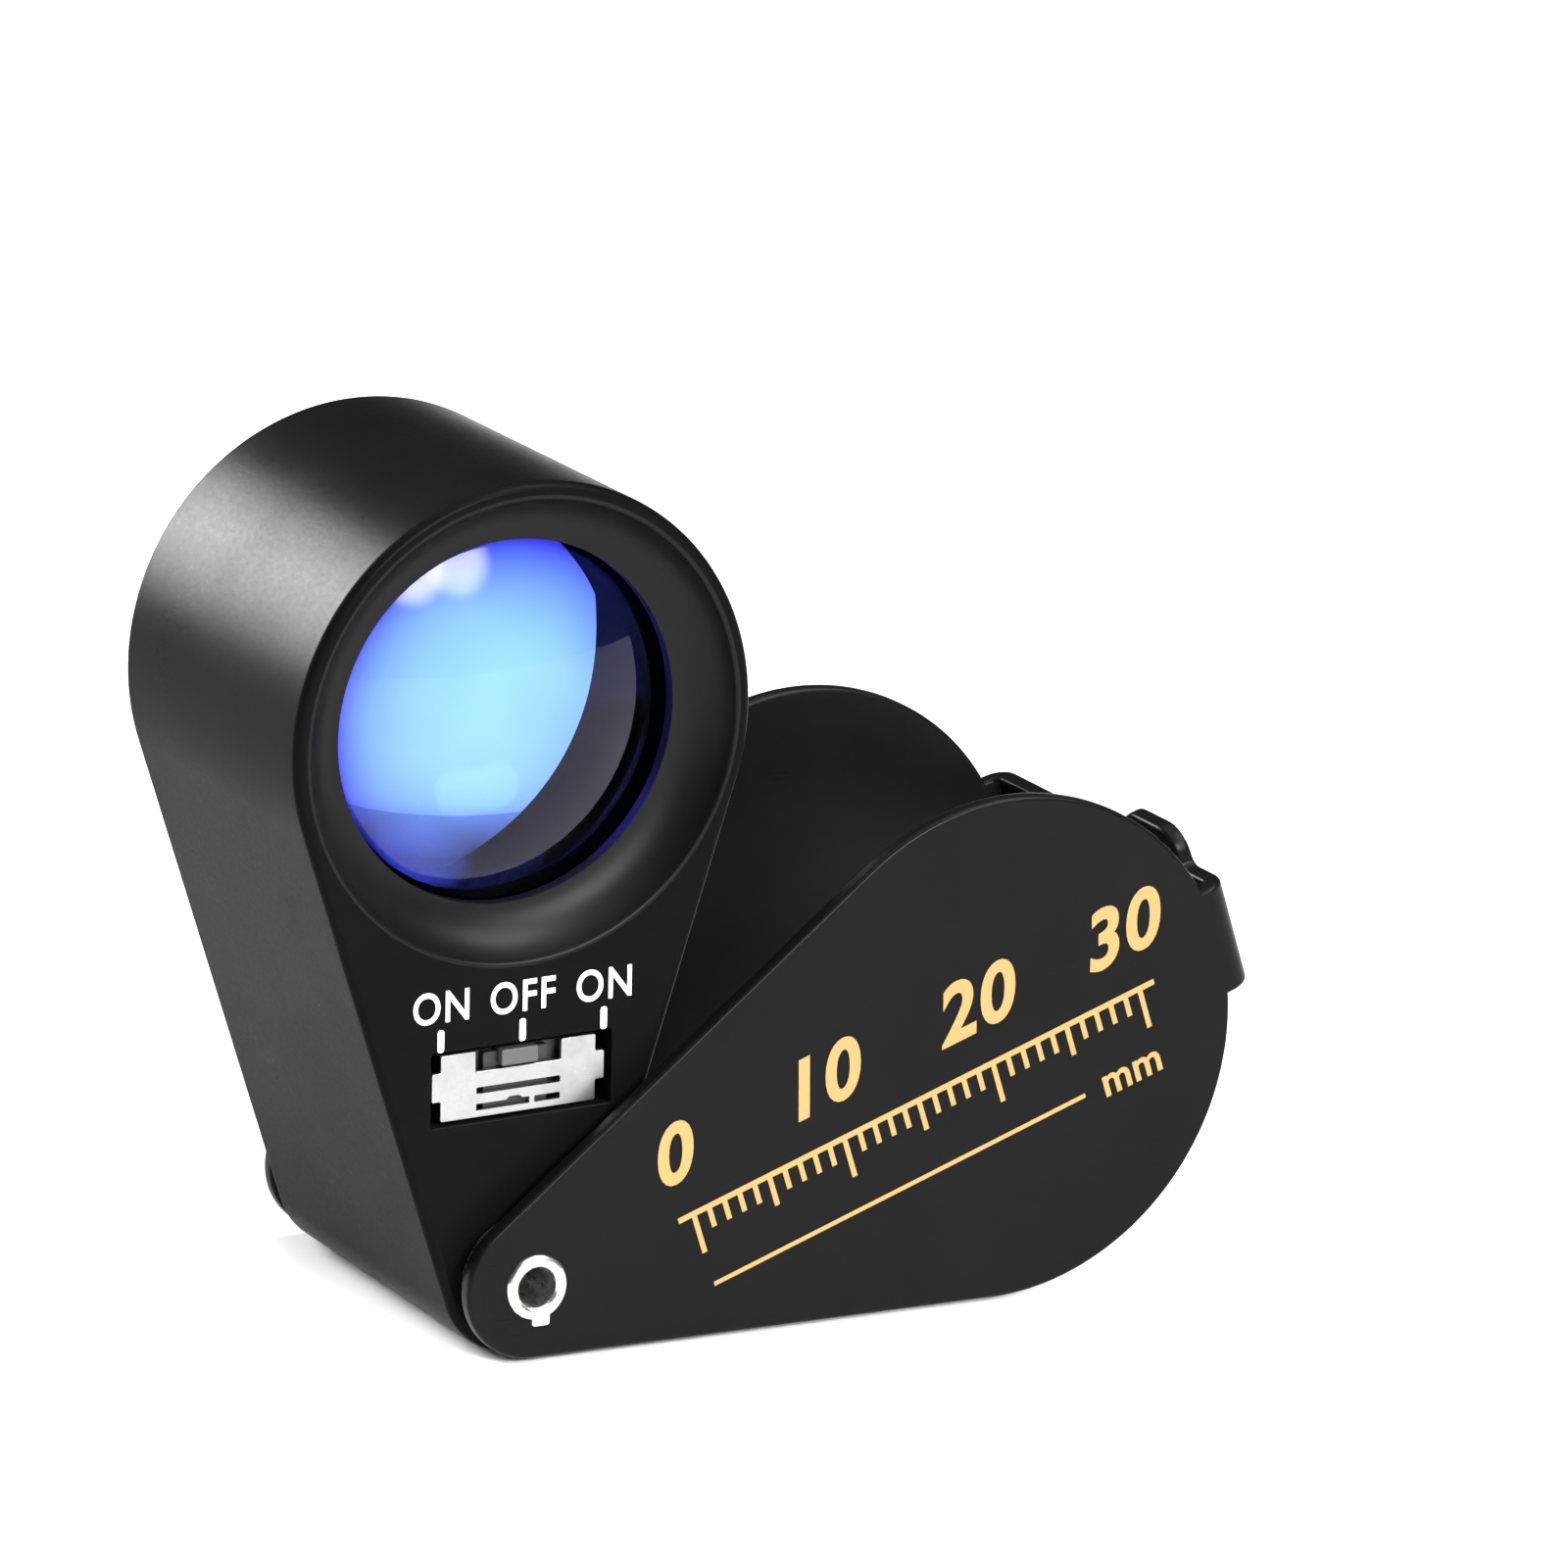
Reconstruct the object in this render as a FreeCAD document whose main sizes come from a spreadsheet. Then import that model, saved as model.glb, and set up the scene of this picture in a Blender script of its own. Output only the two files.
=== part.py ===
import FreeCAD, Part
import math
import os
import re

import Sketcher
from FreeCAD import Placement, Rotation, Vector

# Folding jeweller's loupe with a lighted triplet lens. Millimetres, degrees.
# Origin: on the pivot axis, half way through the folding cover. +Z is up, +Y points away from the
# user's eye (from the eyepiece to the work), and +X runs along the cover's lower edge.
# The cover stands on the straight lower edges of its two plates, and the barrel stands up from it.

SIZES = {
    # barrel shell: a teardrop, wide round the lens and narrow round the pivot
    "barrel_depth": 21.4,
    "barrel_angle": 91.8,
    "lens_reach": 31.25,
    "barrel_wide": 14.0,
    "barrel_narrow": 4.5,
    "barrel_wall": 1.1,
    "front_wall": 1.5,
    "edge_round": 0.5,
    "rebate_wall": 0.7,
    "plate_depth": 1.2,
    "slip_gap": 0.05,
    # eyepiece bezel with its dished front
    "bezel_radius": 13.3,
    "dish_rim": 13.05,
    "dish_round": 3.4,
    "aperture_radius": 10.3,
    "aperture_drop": 2.35,
    "lip_depth": 0.75,
    # lens tube and cemented triplet
    "tube_bore": 10.6,
    "tube_wall": 0.6,
    "tube_recess": 0.5,
    "lens_apex_drop": 0.9,
    "outer_curve": 24.0,
    "inner_curve": 13.0,
    "meniscus_middle": 1.6,
    "crown_middle": 11.3,
    "retainer_bore": 8.55,
    "retainer_depth": 4.0,
    # light ring round the objective end
    "light_board_rise": 3.35,
    "board_depth": 0.8,
    "chip_radial": 1.25,
    "chip_long": 2.0,
    "chip_depth": 0.8,
    "chip_count": 6,
    "window_lip": 0.4,
    "window_recess": 0.3,
    "light_opening": 12.5,
    "tab_half_width": 3.6,
    "tab_low": 17.2,
    "tab_high": 19.0,
    # battery compartment in the neck of the barrel
    "cell_radius": 4.75,
    "cell_depth": 2.7,
    "cell_count": 3,
    "cell_gap": 0.02,
    "cell_centre": 11.4,
    "holder_bore": 4.85,
    "holder_wall": 0.65,
    "holder_floor": 0.6,
    "holder_front": 0.6,
    "boss_radius": 1.8,
    "screw_centre": 4.9,
    "screw_radius": 0.7,
    "screw_head": 1.1,
    "screw_head_depth": 0.45,
    "screw_grip": 3.6,
    "driver_long": 0.75,
    "driver_wide": 0.14,
    "driver_depth": 0.3,
    "hatch_wide": 5.2,
    "hatch_narrow": 1.7,
    "hatch_depth": 0.7,
    "hatch_passage": 4.9,
    "contact_sheet": 0.25,
    "contact_radius": 3.5,
    "leaf_half_long": 3.4,
    "leaf_half_wide": 1.2,
    # control board and wires
    "board_front": 2.6,
    "board_half_wide": 4.6,
    "board_low": 6.5,
    "board_high": 18.1,
    "resistor_half_wide": 0.4,
    "resistor_low": 8.2,
    "resistor_long": 1.6,
    "resistor_pitch": 2.2,
    "resistor_depth": 0.5,
    "wire_radius": 0.35,
    "wire_centre": 17.7,
    "wire_inner": 0.8,
    "wire_outer": 2.4,
    # three-position slide switch in its window
    "window_half_wide": 5.6,
    "window_low": 9.3,
    "window_high": 13.6,
    "frame_recess": 0.4,
    "frame_sheet": 0.3,
    "frame_half_wide": 4.8,
    "frame_low": 9.45,
    "frame_high": 13.3,
    "frame_skirt": 3.2,
    "frame_tab": 5.35,
    "tab_bottom": 10.64,
    "tab_top": 12.3,
    "notch_half_wide": 2.65,
    "notch_low": 12.1,
    "slot_half_long": 2.6,
    "slot_wide": 0.25,
    "slot_first": 10.05,
    "slot_second": 11.0,
    "base_low": 9.8,
    "base_high": 13.0,
    "base_gap": 0.7,
    "base_back": 5.6,
    "carriage_half_wide": 2.0,
    "carriage_gap": 0.1,
    "knob_half_wide": 1.15,
    "knob_low": 12.25,
    "knob_high": 13.2,
    "knob_proud": 0.2,
    "pin_radius": 0.3,
    "pin_pitch": 2.0,
    # pivot
    "rivet_bore": 1.15,
    "rivet_shank": 1.5,
    "rivet_flange": 1.9,
    "flange_proud": 0.3,
    "running_gap": 0.06,
    "bushing_radius": 2.35,
    "washer_radius": 3.6,
    # folding cover: one strip of sheet bent into a U, its plates teardrops
    "side_gap": 1.0,
    "cover_sheet": 1.05,
    "cover_wide": 14.75,
    "cover_narrow": 4.2,
    "bend_radius": 0.45,
    "web_gap": 1.15,
    "neck_half": 3.3,
    "web_half": 5.6,
    "front_neck": 3.7,
    "rear_neck": 13.5,
}

TINY = 1e-7
UP = Vector(0, 0, 1)

document = FreeCAD.newDocument("loupe")
sheet = document.addObject("Spreadsheet::Sheet", "sizes")
for row, (alias, number) in enumerate(SIZES.items(), start=1):
    sheet.set(f"A{row}", alias)
    sheet.set(f"B{row}", str(number))
    sheet.setAlias(f"B{row}", alias)
document.recompute()


# ---------------------------------------------------------------- formulas
def in_sheet(formula):
    """A formula with every alias (a word with an underscore) named as a cell of the sheet."""
    return re.sub(r"\b[a-z]+(?:_[a-z]+)+\b", lambda word: "sizes." + word.group(0), formula)


def value(formula):
    """The number that a formula gives."""
    return float(sheet.evalExpression(in_sheet(formula)))


def bind(item, path, formula):
    """Drive one property of an object by a formula of the sheet's cells."""
    item.setExpression(path, in_sheet(formula))


# ---------------------------------------------------------------- sketches
def new_sketch(body, name, role, level):
    """Sketch on one of the body's own origin planes, moved along the plane's normal by level."""
    sketch = body.newObject("Sketcher::SketchObject", name)
    plane = next(feature for feature in body.Origin.OriginFeatures if feature.Role == role)
    sketch.AttachmentSupport = [(plane, "")]
    sketch.MapMode = "FlatFace"
    bind(sketch, "AttachmentOffset.Base.z", level)
    return sketch


def hold(sketch, kind, references, formula):
    """Add a sketch dimension and bind it."""
    index = sketch.addConstraint(Sketcher.Constraint(kind, *references, value(formula)))
    bind(sketch, f"Constraints[{index}]", formula)


def pin(sketch, curve, end, across, up):
    """Fix one point of a curve at (across, up) from the sketch's origin."""
    for kind, axis, formula in (("DistanceX", -2, across), ("DistanceY", -1, up)):
        if abs(value(formula)) < TINY:
            sketch.addConstraint(Sketcher.Constraint("PointOnObject", curve, end, axis))
        else:
            hold(sketch, kind, (-1, 1, curve, end), formula)


def circle(sketch, radius, across="0", up="0"):
    centre = Vector(value(across), value(up), 0)
    curve = sketch.addGeometry(Part.Circle(centre, UP, value(radius)))
    pin(sketch, curve, 3, across, up)
    hold(sketch, "Radius", (curve,), radius)


def outline(sketch, corners, arcs=None):
    """Closed outline through corners, each a pair of formulas, in order.

    arcs gives a side that is an arc: its number, then its radius and +1 where it turns
    anticlockwise from its first corner to its second, or -1 where it turns clockwise.
    """
    arcs = arcs or {}
    points = [Vector(value(across), value(up), 0) for across, up in corners]
    sides = []
    for number, start in enumerate(points):
        finish = points[(number + 1) % len(points)]
        if number not in arcs:
            sides.append((sketch.addGeometry(Part.LineSegment(start, finish)), 1, 2))
            continue
        radius, turn = arcs[number]
        chord = finish - start
        rise = math.sqrt(value(radius) ** 2 - (chord.Length / 2) ** 2)
        left = UP.cross(chord).normalize()
        centre = start + chord * 0.5 + left * (rise * turn)
        first, last = (start, finish) if turn > 0 else (finish, start)
        angles = [math.atan2((end - centre).y, (end - centre).x) for end in (first, last)]
        arc = Part.ArcOfCircle(Part.Circle(centre, UP, value(radius)), *angles)
        curve = sketch.addGeometry(arc)
        sides.append((curve, 1, 2) if turn > 0 else (curve, 2, 1))
        hold(sketch, "Radius", (curve,), radius)
    for number, (curve, begin, end) in enumerate(sides):
        following = sides[(number + 1) % len(sides)]
        sketch.addConstraint(Sketcher.Constraint("Coincident", curve, end, following[0], following[1]))
        pin(sketch, curve, begin, *corners[number])


def rectangle(sketch, left, right, low, high):
    outline(sketch, [(left, low), (right, low), (right, high), (left, high)])


def teardrop(sketch, narrow, wide, reach, start="0", heading=90):
    """Two arcs joined by their common tangents: narrow about start, wide about start + reach.

    The drop points up the sketch, or across it where heading is 0.
    """
    sine = (value(wide) - value(narrow)) / value(reach)
    lean = math.asin(sine)
    quarter = math.pi / 2
    turn = math.radians(heading) - quarter

    def centre_of(distance):
        return (distance, "0") if heading == 0 else ("0", distance)

    def arc_about(distance, radius, first, last):
        across, up = centre_of(distance)
        centre = Vector(value(across), value(up), 0)
        angles = (first + turn, last + turn)
        return sketch.addGeometry(Part.ArcOfCircle(Part.Circle(centre, UP, value(radius)), *angles))

    top = arc_about(f"({start}) + ({reach})", wide, -lean, math.pi + lean)
    bottom = arc_about(start, narrow, math.pi + lean, 2 * math.pi - lean)
    ends = [sketch.Geometry[top].StartPoint, sketch.Geometry[top].EndPoint,
            sketch.Geometry[bottom].StartPoint, sketch.Geometry[bottom].EndPoint]
    left_side = sketch.addGeometry(Part.LineSegment(ends[1], ends[2]))
    right_side = sketch.addGeometry(Part.LineSegment(ends[3], ends[0]))
    for curve, next_curve in ((top, left_side), (left_side, bottom), (bottom, right_side), (right_side, top)):
        sketch.addConstraint(Sketcher.Constraint("Tangent", curve, 2, next_curve, 1))
    pin(sketch, top, 3, *centre_of(f"({start}) + ({reach})"))
    pin(sketch, bottom, 3, *centre_of(start))
    hold(sketch, "Radius", (top,), wide)
    hold(sketch, "Radius", (bottom,), narrow)


# ---------------------------------------------------------------- bodies and features
def new_body(label):
    body = document.addObject("PartDesign::Body", label)
    body.Label = label
    body.AllowCompound = True
    return body


def turn_about_pivot(body, angle, reach="0"):
    """Lean a body by angle from +Z towards -X, with its origin reach out from the pivot."""
    body.Placement = Placement(Vector(), Rotation(Vector(0, -1, 0), value(angle)))
    bind(body, "Placement.Rotation.Angle", f"({angle}) * 1 deg")
    bind(body, "Placement.Base.x", f"-({reach}) * sin(({angle}) * 1 deg)")
    bind(body, "Placement.Base.z", f"({reach}) * cos(({angle}) * 1 deg)")


def on_barrel(label):
    """Body in the barrel's frame: origin on the pivot, +Z along the barrel's centre line."""
    body = new_body(label)
    turn_about_pivot(body, "barrel_angle - 90")
    return body


def on_lens(label):
    """Body in the lens frame: the barrel's frame moved out to the optical axis."""
    body = new_body(label)
    turn_about_pivot(body, "barrel_angle - 90", "lens_reach")
    return body


def slab(body, name, draw, back, front):
    """Pad a sketch between two depths, both counted towards the eye from the middle of the barrel."""
    sketch = new_sketch(body, name + "_sketch", "XZ_Plane", back)
    draw(sketch)
    pad = body.newObject("PartDesign::Pad", name)
    pad.Profile = sketch
    bind(pad, "Length", f"({front}) - ({back})")
    return pad


def hollow(body, name, draw, back, front):
    """Cut a sketch out of the body between two depths, and make sure that something was cut."""
    document.recompute()
    before = body.Shape.Volume
    sketch = new_sketch(body, name + "_sketch", "XZ_Plane", back)
    draw(sketch)
    pocket = body.newObject("PartDesign::Pocket", name)
    pocket.Profile = sketch
    pocket.Reversed = True
    bind(pocket, "Length", f"({front}) - ({back})")
    document.recompute()
    if body.Shape.Volume > before - TINY:
        raise RuntimeError(name + " cuts nothing")
    return pocket


def turn_section(body, corners, arcs=None):
    """Turn a section about the body's own Y axis. Corners are (depth along +Y, radius)."""
    sketch = new_sketch(body, body.Label + "_section", "YZ_Plane", "0")
    outline(sketch, corners, arcs)
    revolution = body.newObject("PartDesign::Revolution", body.Label + "_turning")
    revolution.Profile = sketch
    revolution.ReferenceAxis = (sketch, ["H_Axis"])
    revolution.Angle = 360


def turned(label, corners, arcs=None):
    """A piece turned about the optical axis."""
    body = on_lens(label)
    turn_section(body, corners, arcs)
    return body


def ring_corners(front, back, inner, outer):
    return [(front, inner), (back, inner), (back, outer), (front, outer)]


def round_edges(body, name, radius, chosen):
    """Fillet the edges of the body's last feature that chosen(edge) picks."""
    document.recompute()
    names = [f"Edge{number}" for number, edge in enumerate(body.Shape.Edges, start=1) if chosen(edge)]
    base = body.Tip
    fillet = body.newObject("PartDesign::Fillet", name)
    fillet.Base = (base, names)
    bind(fillet, "Radius", radius)
    return fillet


# Depths towards the eye that several pieces share.
FRONT = "barrel_depth / 2"
REAR = "-barrel_depth / 2"
WALL_BACK = f"{FRONT} - front_wall"
PLATE_FRONT = f"{REAR} + plate_depth"
# Depths along +Y that the turned pieces share.
LIP_BACK = f"-({FRONT}) + aperture_drop + lip_depth"
APEX = f"-({FRONT}) + lens_apex_drop"
SLEEVE_OUTER = "barrel_wide - barrel_wall - slip_gap"
SLEEVE_INNER = "tube_bore + tube_wall + slip_gap"
LIGHT_BOARD_FRONT = f"-({REAR}) - light_board_rise"


# ---------------------------------------------------------------- folding cover and pivot
def make_folding_cover():
    """Strip bent into a U: two teardrop plates joined at their wide ends by a narrower web."""
    body = new_body("folding_cover")
    tilt = "asin((cover_wide - cover_narrow) / lens_reach) / 1 deg"
    body.Placement = Placement(Vector(), Rotation(Vector(0, -1, 0), value(tilt)))
    bind(body, "Placement.Rotation.Angle", f"({tilt}) * 1 deg")

    inner = "barrel_depth / 2 + side_gap"
    outer = f"{inner} + cover_sheet"
    web_inside = "lens_reach + barrel_wide + web_gap"
    web_outside = f"{web_inside} + cover_sheet"
    open_end = "-cover_narrow - 1"
    big_bend = "bend_radius + cover_sheet"
    section = new_sketch(body, "strip_section", "XY_Plane", "0")
    outline(
        section,
        [
            (open_end, f"-({outer})"),
            (f"{web_outside} - ({big_bend})", f"-({outer})"),
            (web_outside, f"-({outer}) + {big_bend}"),
            (web_outside, f"{outer} - ({big_bend})"),
            (f"{web_outside} - ({big_bend})", outer),
            (open_end, outer),
            (open_end, inner),
            (f"{web_inside} - bend_radius", inner),
            (web_inside, f"{inner} - bend_radius"),
            (web_inside, f"-({inner}) + bend_radius"),
            (f"{web_inside} - bend_radius", f"-({inner})"),
            (open_end, f"-({inner})"),
        ],
        {1: (big_bend, 1), 3: (big_bend, 1), 7: ("bend_radius", -1), 9: ("bend_radius", -1)},
    )
    strip = body.newObject("PartDesign::Pad", "strip")
    strip.Profile = section
    strip.SideType = "Symmetric"
    bind(strip, "Length", "2 * cover_wide + 2")

    # The plates' outline seen from the side, with the strip's full width kept beyond the neck.
    sine = "(cover_wide - cover_narrow) / lens_reach"
    cosine = f"sqrt(1 - ({sine}) ^ 2)"
    neck_root = "lens_reach + sqrt(cover_wide ^ 2 - neck_half ^ 2)"
    margin = "2 * cover_wide"

    def beside_plates(sketch):
        rectangle(sketch, f"-({margin})", f"lens_reach + {margin}", f"-({margin})", margin)
        outline(
            sketch,
            [
                (f"-cover_narrow * {sine}", f"-cover_narrow * {cosine}"),
                (f"lens_reach - cover_wide * {sine}", f"-cover_wide * {cosine}"),
                (neck_root, "-neck_half"),
                (neck_root, "-web_half"),
                (f"{web_outside} + 1", "-web_half"),
                (f"{web_outside} + 1", "web_half"),
                (neck_root, "web_half"),
                (neck_root, "neck_half"),
                (f"lens_reach - cover_wide * {sine}", f"cover_wide * {cosine}"),
                (f"-cover_narrow * {sine}", f"cover_narrow * {cosine}"),
            ],
            {1: ("cover_wide", 1), 7: ("cover_wide", 1), 9: ("cover_narrow", 1)},
        )

    hollow(body, "plate_outline", beside_plates, f"-({outer}) - 1", f"{outer} + 1")

    # Notches beside the two necks leave a wider tab on the web, nearer the front plate.
    notch_plane = new_sketch(body, "neck_notches", "YZ_Plane", neck_root)
    for low, high in (("-web_half - 1", "-neck_half"), ("neck_half", "web_half + 1")):
        rectangle(notch_plane, f"-({outer}) - 1", f"-({outer}) + front_neck", low, high)
        rectangle(notch_plane, f"{outer} - rear_neck", f"{outer} + 1", low, high)
    notches = body.newObject("PartDesign::Pocket", "notches")
    notches.Profile = notch_plane
    notches.Reversed = True
    bind(notches, "Length", f"{web_outside} - ({neck_root}) + 1")

    hollow(body, "pivot_hole", lambda sketch: circle(sketch, "rivet_shank + slip_gap"),
           f"-({outer}) - 1", f"{outer} + 1")
    return body


def make_pivot_rivet():
    """Tubular rivet through both plates, rolled over into a flange at each end."""
    body = new_body("pivot_rivet")
    face = "barrel_depth / 2 + side_gap + cover_sheet"
    end = f"{face} + flange_proud"
    turn_section(body, [
        (f"-({end})", "rivet_bore"),
        (end, "rivet_bore"),
        (end, "rivet_flange"),
        (face, "rivet_flange"),
        (face, "rivet_shank"),
        (f"-({face})", "rivet_shank"),
        (f"-({face})", "rivet_flange"),
        (f"-({end})", "rivet_flange"),
    ])
    return body


def make_washer(label, side):
    """Ring between one plate and the barrel, on the eye's side (+1) or on the far side (-1)."""
    body = new_body(label)

    def ring(sketch):
        circle(sketch, "washer_radius")
        circle(sketch, "rivet_shank + slip_gap")

    against_plate = f"{side} * (barrel_depth / 2 + side_gap)"
    against_barrel = f"{side} * (barrel_depth / 2 + running_gap)"
    back, front = (against_barrel, against_plate) if side > 0 else (against_plate, against_barrel)
    slab(body, label + "_ring", ring, back, front)
    return body


# ---------------------------------------------------------------- barrel shell
def make_barrel_housing():
    """Deep teardrop shell, open at the back, with the bezel's bore and the switch window in front."""
    body = on_barrel("barrel_housing")
    slab(body, "shell", lambda sketch: teardrop(sketch, "barrel_narrow", "barrel_wide", "lens_reach"),
         REAR, FRONT)

    def on_an_end(edge):
        depths = [vertex.Point.y for vertex in edge.Vertexes]
        return max(depths) - min(depths) < TINY

    round_edges(body, "rounded_rims", "edge_round", on_an_end)
    hollow(body, "inside",
           lambda sketch: teardrop(sketch, "barrel_narrow - barrel_wall", "barrel_wide - barrel_wall",
                                   "lens_reach"),
           f"{REAR} - 1", WALL_BACK)
    hollow(body, "plate_rebate",
           lambda sketch: teardrop(sketch, "barrel_narrow - rebate_wall", "barrel_wide - rebate_wall",
                                   "lens_reach"),
           f"{REAR} - 1", PLATE_FRONT)
    hollow(body, "bezel_bore", lambda sketch: circle(sketch, "bezel_radius", up="lens_reach"),
           WALL_BACK, f"{FRONT} + 1")
    hollow(body, "switch_window",
           lambda sketch: rectangle(sketch, "-window_half_wide", "window_half_wide", "window_low",
                                    "window_high"),
           f"{WALL_BACK} - 1", f"{FRONT} + 1")
    hollow(body, "bushing_hole", lambda sketch: circle(sketch, "bushing_radius"),
           f"{WALL_BACK} - 1", f"{FRONT} + 1")
    return body


def make_rear_plate():
    """Lid of the shell, with openings for the light ring, the battery hatch and the pivot."""
    body = on_barrel("rear_plate")
    gap = "rebate_wall + slip_gap"
    slab(body, "lid", lambda sketch: teardrop(sketch, f"barrel_narrow - ({gap})", f"barrel_wide - ({gap})",
                                              "lens_reach"),
         REAR, PLATE_FRONT)

    def through(name, draw):
        hollow(body, name, draw, f"{REAR} - 1", f"{PLATE_FRONT} + 1")

    through("light_opening", lambda sketch: circle(sketch, "light_opening", up="lens_reach"))
    through("cell_passage", lambda sketch: circle(sketch, "hatch_passage", up="cell_centre"))
    through("screw_passage", lambda sketch: circle(sketch, "screw_radius + slip_gap", up="screw_centre"))
    through("bushing_hole", lambda sketch: circle(sketch, "bushing_radius"))
    hollow(body, "hatch_recess",
           lambda sketch: teardrop(sketch, "hatch_narrow + slip_gap", "hatch_wide + slip_gap",
                                   "cell_centre - screw_centre", start="screw_centre"),
           f"{REAR} - 1", f"{REAR} + hatch_depth")
    return body


def make_pivot_bushing():
    """Brass tube fixed in the barrel, turning on the rivet."""
    body = on_barrel("pivot_bushing")

    def ring(sketch):
        circle(sketch, "bushing_radius")
        circle(sketch, "rivet_shank + running_gap")

    slab(body, "tube", ring, REAR, FRONT)
    return body


# ---------------------------------------------------------------- optics
def make_eyepiece_bezel():
    """Ring in the front of the barrel: a lip that holds the lens, and a hollow dish round it."""
    face = f"-({FRONT})"
    shoulder = f"-({WALL_BACK})"
    return turned("eyepiece_bezel", [
        (face, "dish_rim"),
        (face, "bezel_radius"),
        (shoulder, "bezel_radius"),
        (shoulder, SLEEVE_OUTER),
        (LIP_BACK, SLEEVE_OUTER),
        (LIP_BACK, "aperture_radius"),
        (f"{face} + aperture_drop", "aperture_radius"),
    ], {6: ("dish_round", 1)})


def make_lens_tube():
    back = f"-({REAR}) - tube_recess"
    return turned("lens_tube", ring_corners(LIP_BACK, back, "tube_bore", "tube_bore + tube_wall"))


def make_locating_sleeve():
    """Plastic sleeve that centres the lens tube in the shell and carries the light ring."""
    return turned("locating_sleeve", ring_corners(LIP_BACK, LIGHT_BOARD_FRONT, SLEEVE_INNER, SLEEVE_OUTER))


LENS_RADIUS = "tube_bore - slip_gap"
OUTER_SAG = f"(outer_curve - sqrt(outer_curve ^ 2 - ({LENS_RADIUS}) ^ 2))"
INNER_SAG = f"(inner_curve - sqrt(inner_curve ^ 2 - ({LENS_RADIUS}) ^ 2))"
CROWN_FRONT = f"{APEX} + meniscus_middle"
CROWN_BACK = f"{CROWN_FRONT} + crown_middle"
BACK_APEX = f"{CROWN_BACK} + meniscus_middle"


def make_eye_lens():
    """Front element of the triplet, a meniscus that bulges towards the eye."""
    return turned("eye_lens", [
        (APEX, "0"),
        (CROWN_FRONT, "0"),
        (f"{CROWN_FRONT} + {INNER_SAG}", LENS_RADIUS),
        (f"{APEX} + {OUTER_SAG}", LENS_RADIUS),
    ], {1: ("inner_curve", -1), 3: ("outer_curve", 1)})


def make_crown_lens():
    """Middle element of the triplet, strongly curved on both sides."""
    return turned("crown_lens", [
        (CROWN_FRONT, "0"),
        (CROWN_BACK, "0"),
        (f"{CROWN_BACK} - {INNER_SAG}", LENS_RADIUS),
        (f"{CROWN_FRONT} + {INNER_SAG}", LENS_RADIUS),
    ], {1: ("inner_curve", 1), 3: ("inner_curve", 1)})


def make_field_lens():
    """Rear element of the triplet, the eye lens turned round."""
    return turned("field_lens", [
        (CROWN_BACK, "0"),
        (BACK_APEX, "0"),
        (f"{BACK_APEX} - {OUTER_SAG}", LENS_RADIUS),
        (f"{CROWN_BACK} - {INNER_SAG}", LENS_RADIUS),
    ], {1: ("outer_curve", 1), 3: ("inner_curve", -1)})


def make_lens_retainer():
    """Threaded ring behind the field lens. Its bore's front edge bears on the glass."""
    edge = f"{BACK_APEX} - (outer_curve - sqrt(outer_curve ^ 2 - retainer_bore ^ 2)) + slip_gap"
    return turned("lens_retainer", ring_corners(edge, f"{edge} + retainer_depth", "retainer_bore",
                                                LENS_RADIUS))


# ---------------------------------------------------------------- light ring
BOARD_BACK = f"{LIGHT_BOARD_FRONT} + board_depth"
CHIP_BACK = f"{BOARD_BACK} + chip_depth"
WINDOW_BACK = f"-({REAR}) - window_recess"


def make_light_board():
    """Ring-shaped circuit board with a tab that reaches into the neck for the wires."""
    body = on_lens("light_board")

    def ring(sketch):
        circle(sketch, SLEEVE_OUTER)
        circle(sketch, SLEEVE_INNER)

    slab(body, "ring", ring, f"-({BOARD_BACK})", f"-({LIGHT_BOARD_FRONT})")
    slab(body, "tab",
         lambda sketch: rectangle(sketch, "-tab_half_width", "tab_half_width", "tab_low - lens_reach",
                                  "tab_high - lens_reach"),
         f"-({BOARD_BACK})", f"-({LIGHT_BOARD_FRONT})")
    return body


def make_light_chips(label, first_angle):
    """Surface-mounted light chips, evenly spaced round the board from first_angle."""
    body = on_lens(label)
    middle = f"(({SLEEVE_INNER}) + ({SLEEVE_OUTER})) / 2"
    count = int(SIZES["chip_count"])
    for number in range(count):
        angle = math.radians(first_angle + 360 * number / count)
        along = (f"{math.cos(angle):.9f}", f"{math.sin(angle):.9f}")

        def corner(outward, sideways):
            radial = f"(({middle}) + ({outward}) * chip_radial / 2)"
            tangential = f"(({sideways}) * chip_long / 2)"
            return (f"{radial} * ({along[0]}) - {tangential} * ({along[1]})",
                    f"{radial} * ({along[1]}) + {tangential} * ({along[0]})")

        def chip(sketch):
            outline(sketch, [corner(-1, -1), corner(1, -1), corner(1, 1), corner(-1, 1)])

        slab(body, f"{label}_{number}", chip, f"-({CHIP_BACK})", f"-({BOARD_BACK})")
    return body


def make_light_window():
    """Clear ring over the chips, with a rim held behind the rear plate."""
    front = f"-({PLATE_FRONT}) - window_lip"
    step = f"-({PLATE_FRONT})"
    return turned("light_window", [
        (front, SLEEVE_INNER),
        (WINDOW_BACK, SLEEVE_INNER),
        (WINDOW_BACK, "light_opening - slip_gap"),
        (step, "light_opening - slip_gap"),
        (step, SLEEVE_OUTER),
        (front, SLEEVE_OUTER),
    ])


# ---------------------------------------------------------------- batteries
HOLDER_REAR = f"{PLATE_FRONT} + slip_gap"


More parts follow.
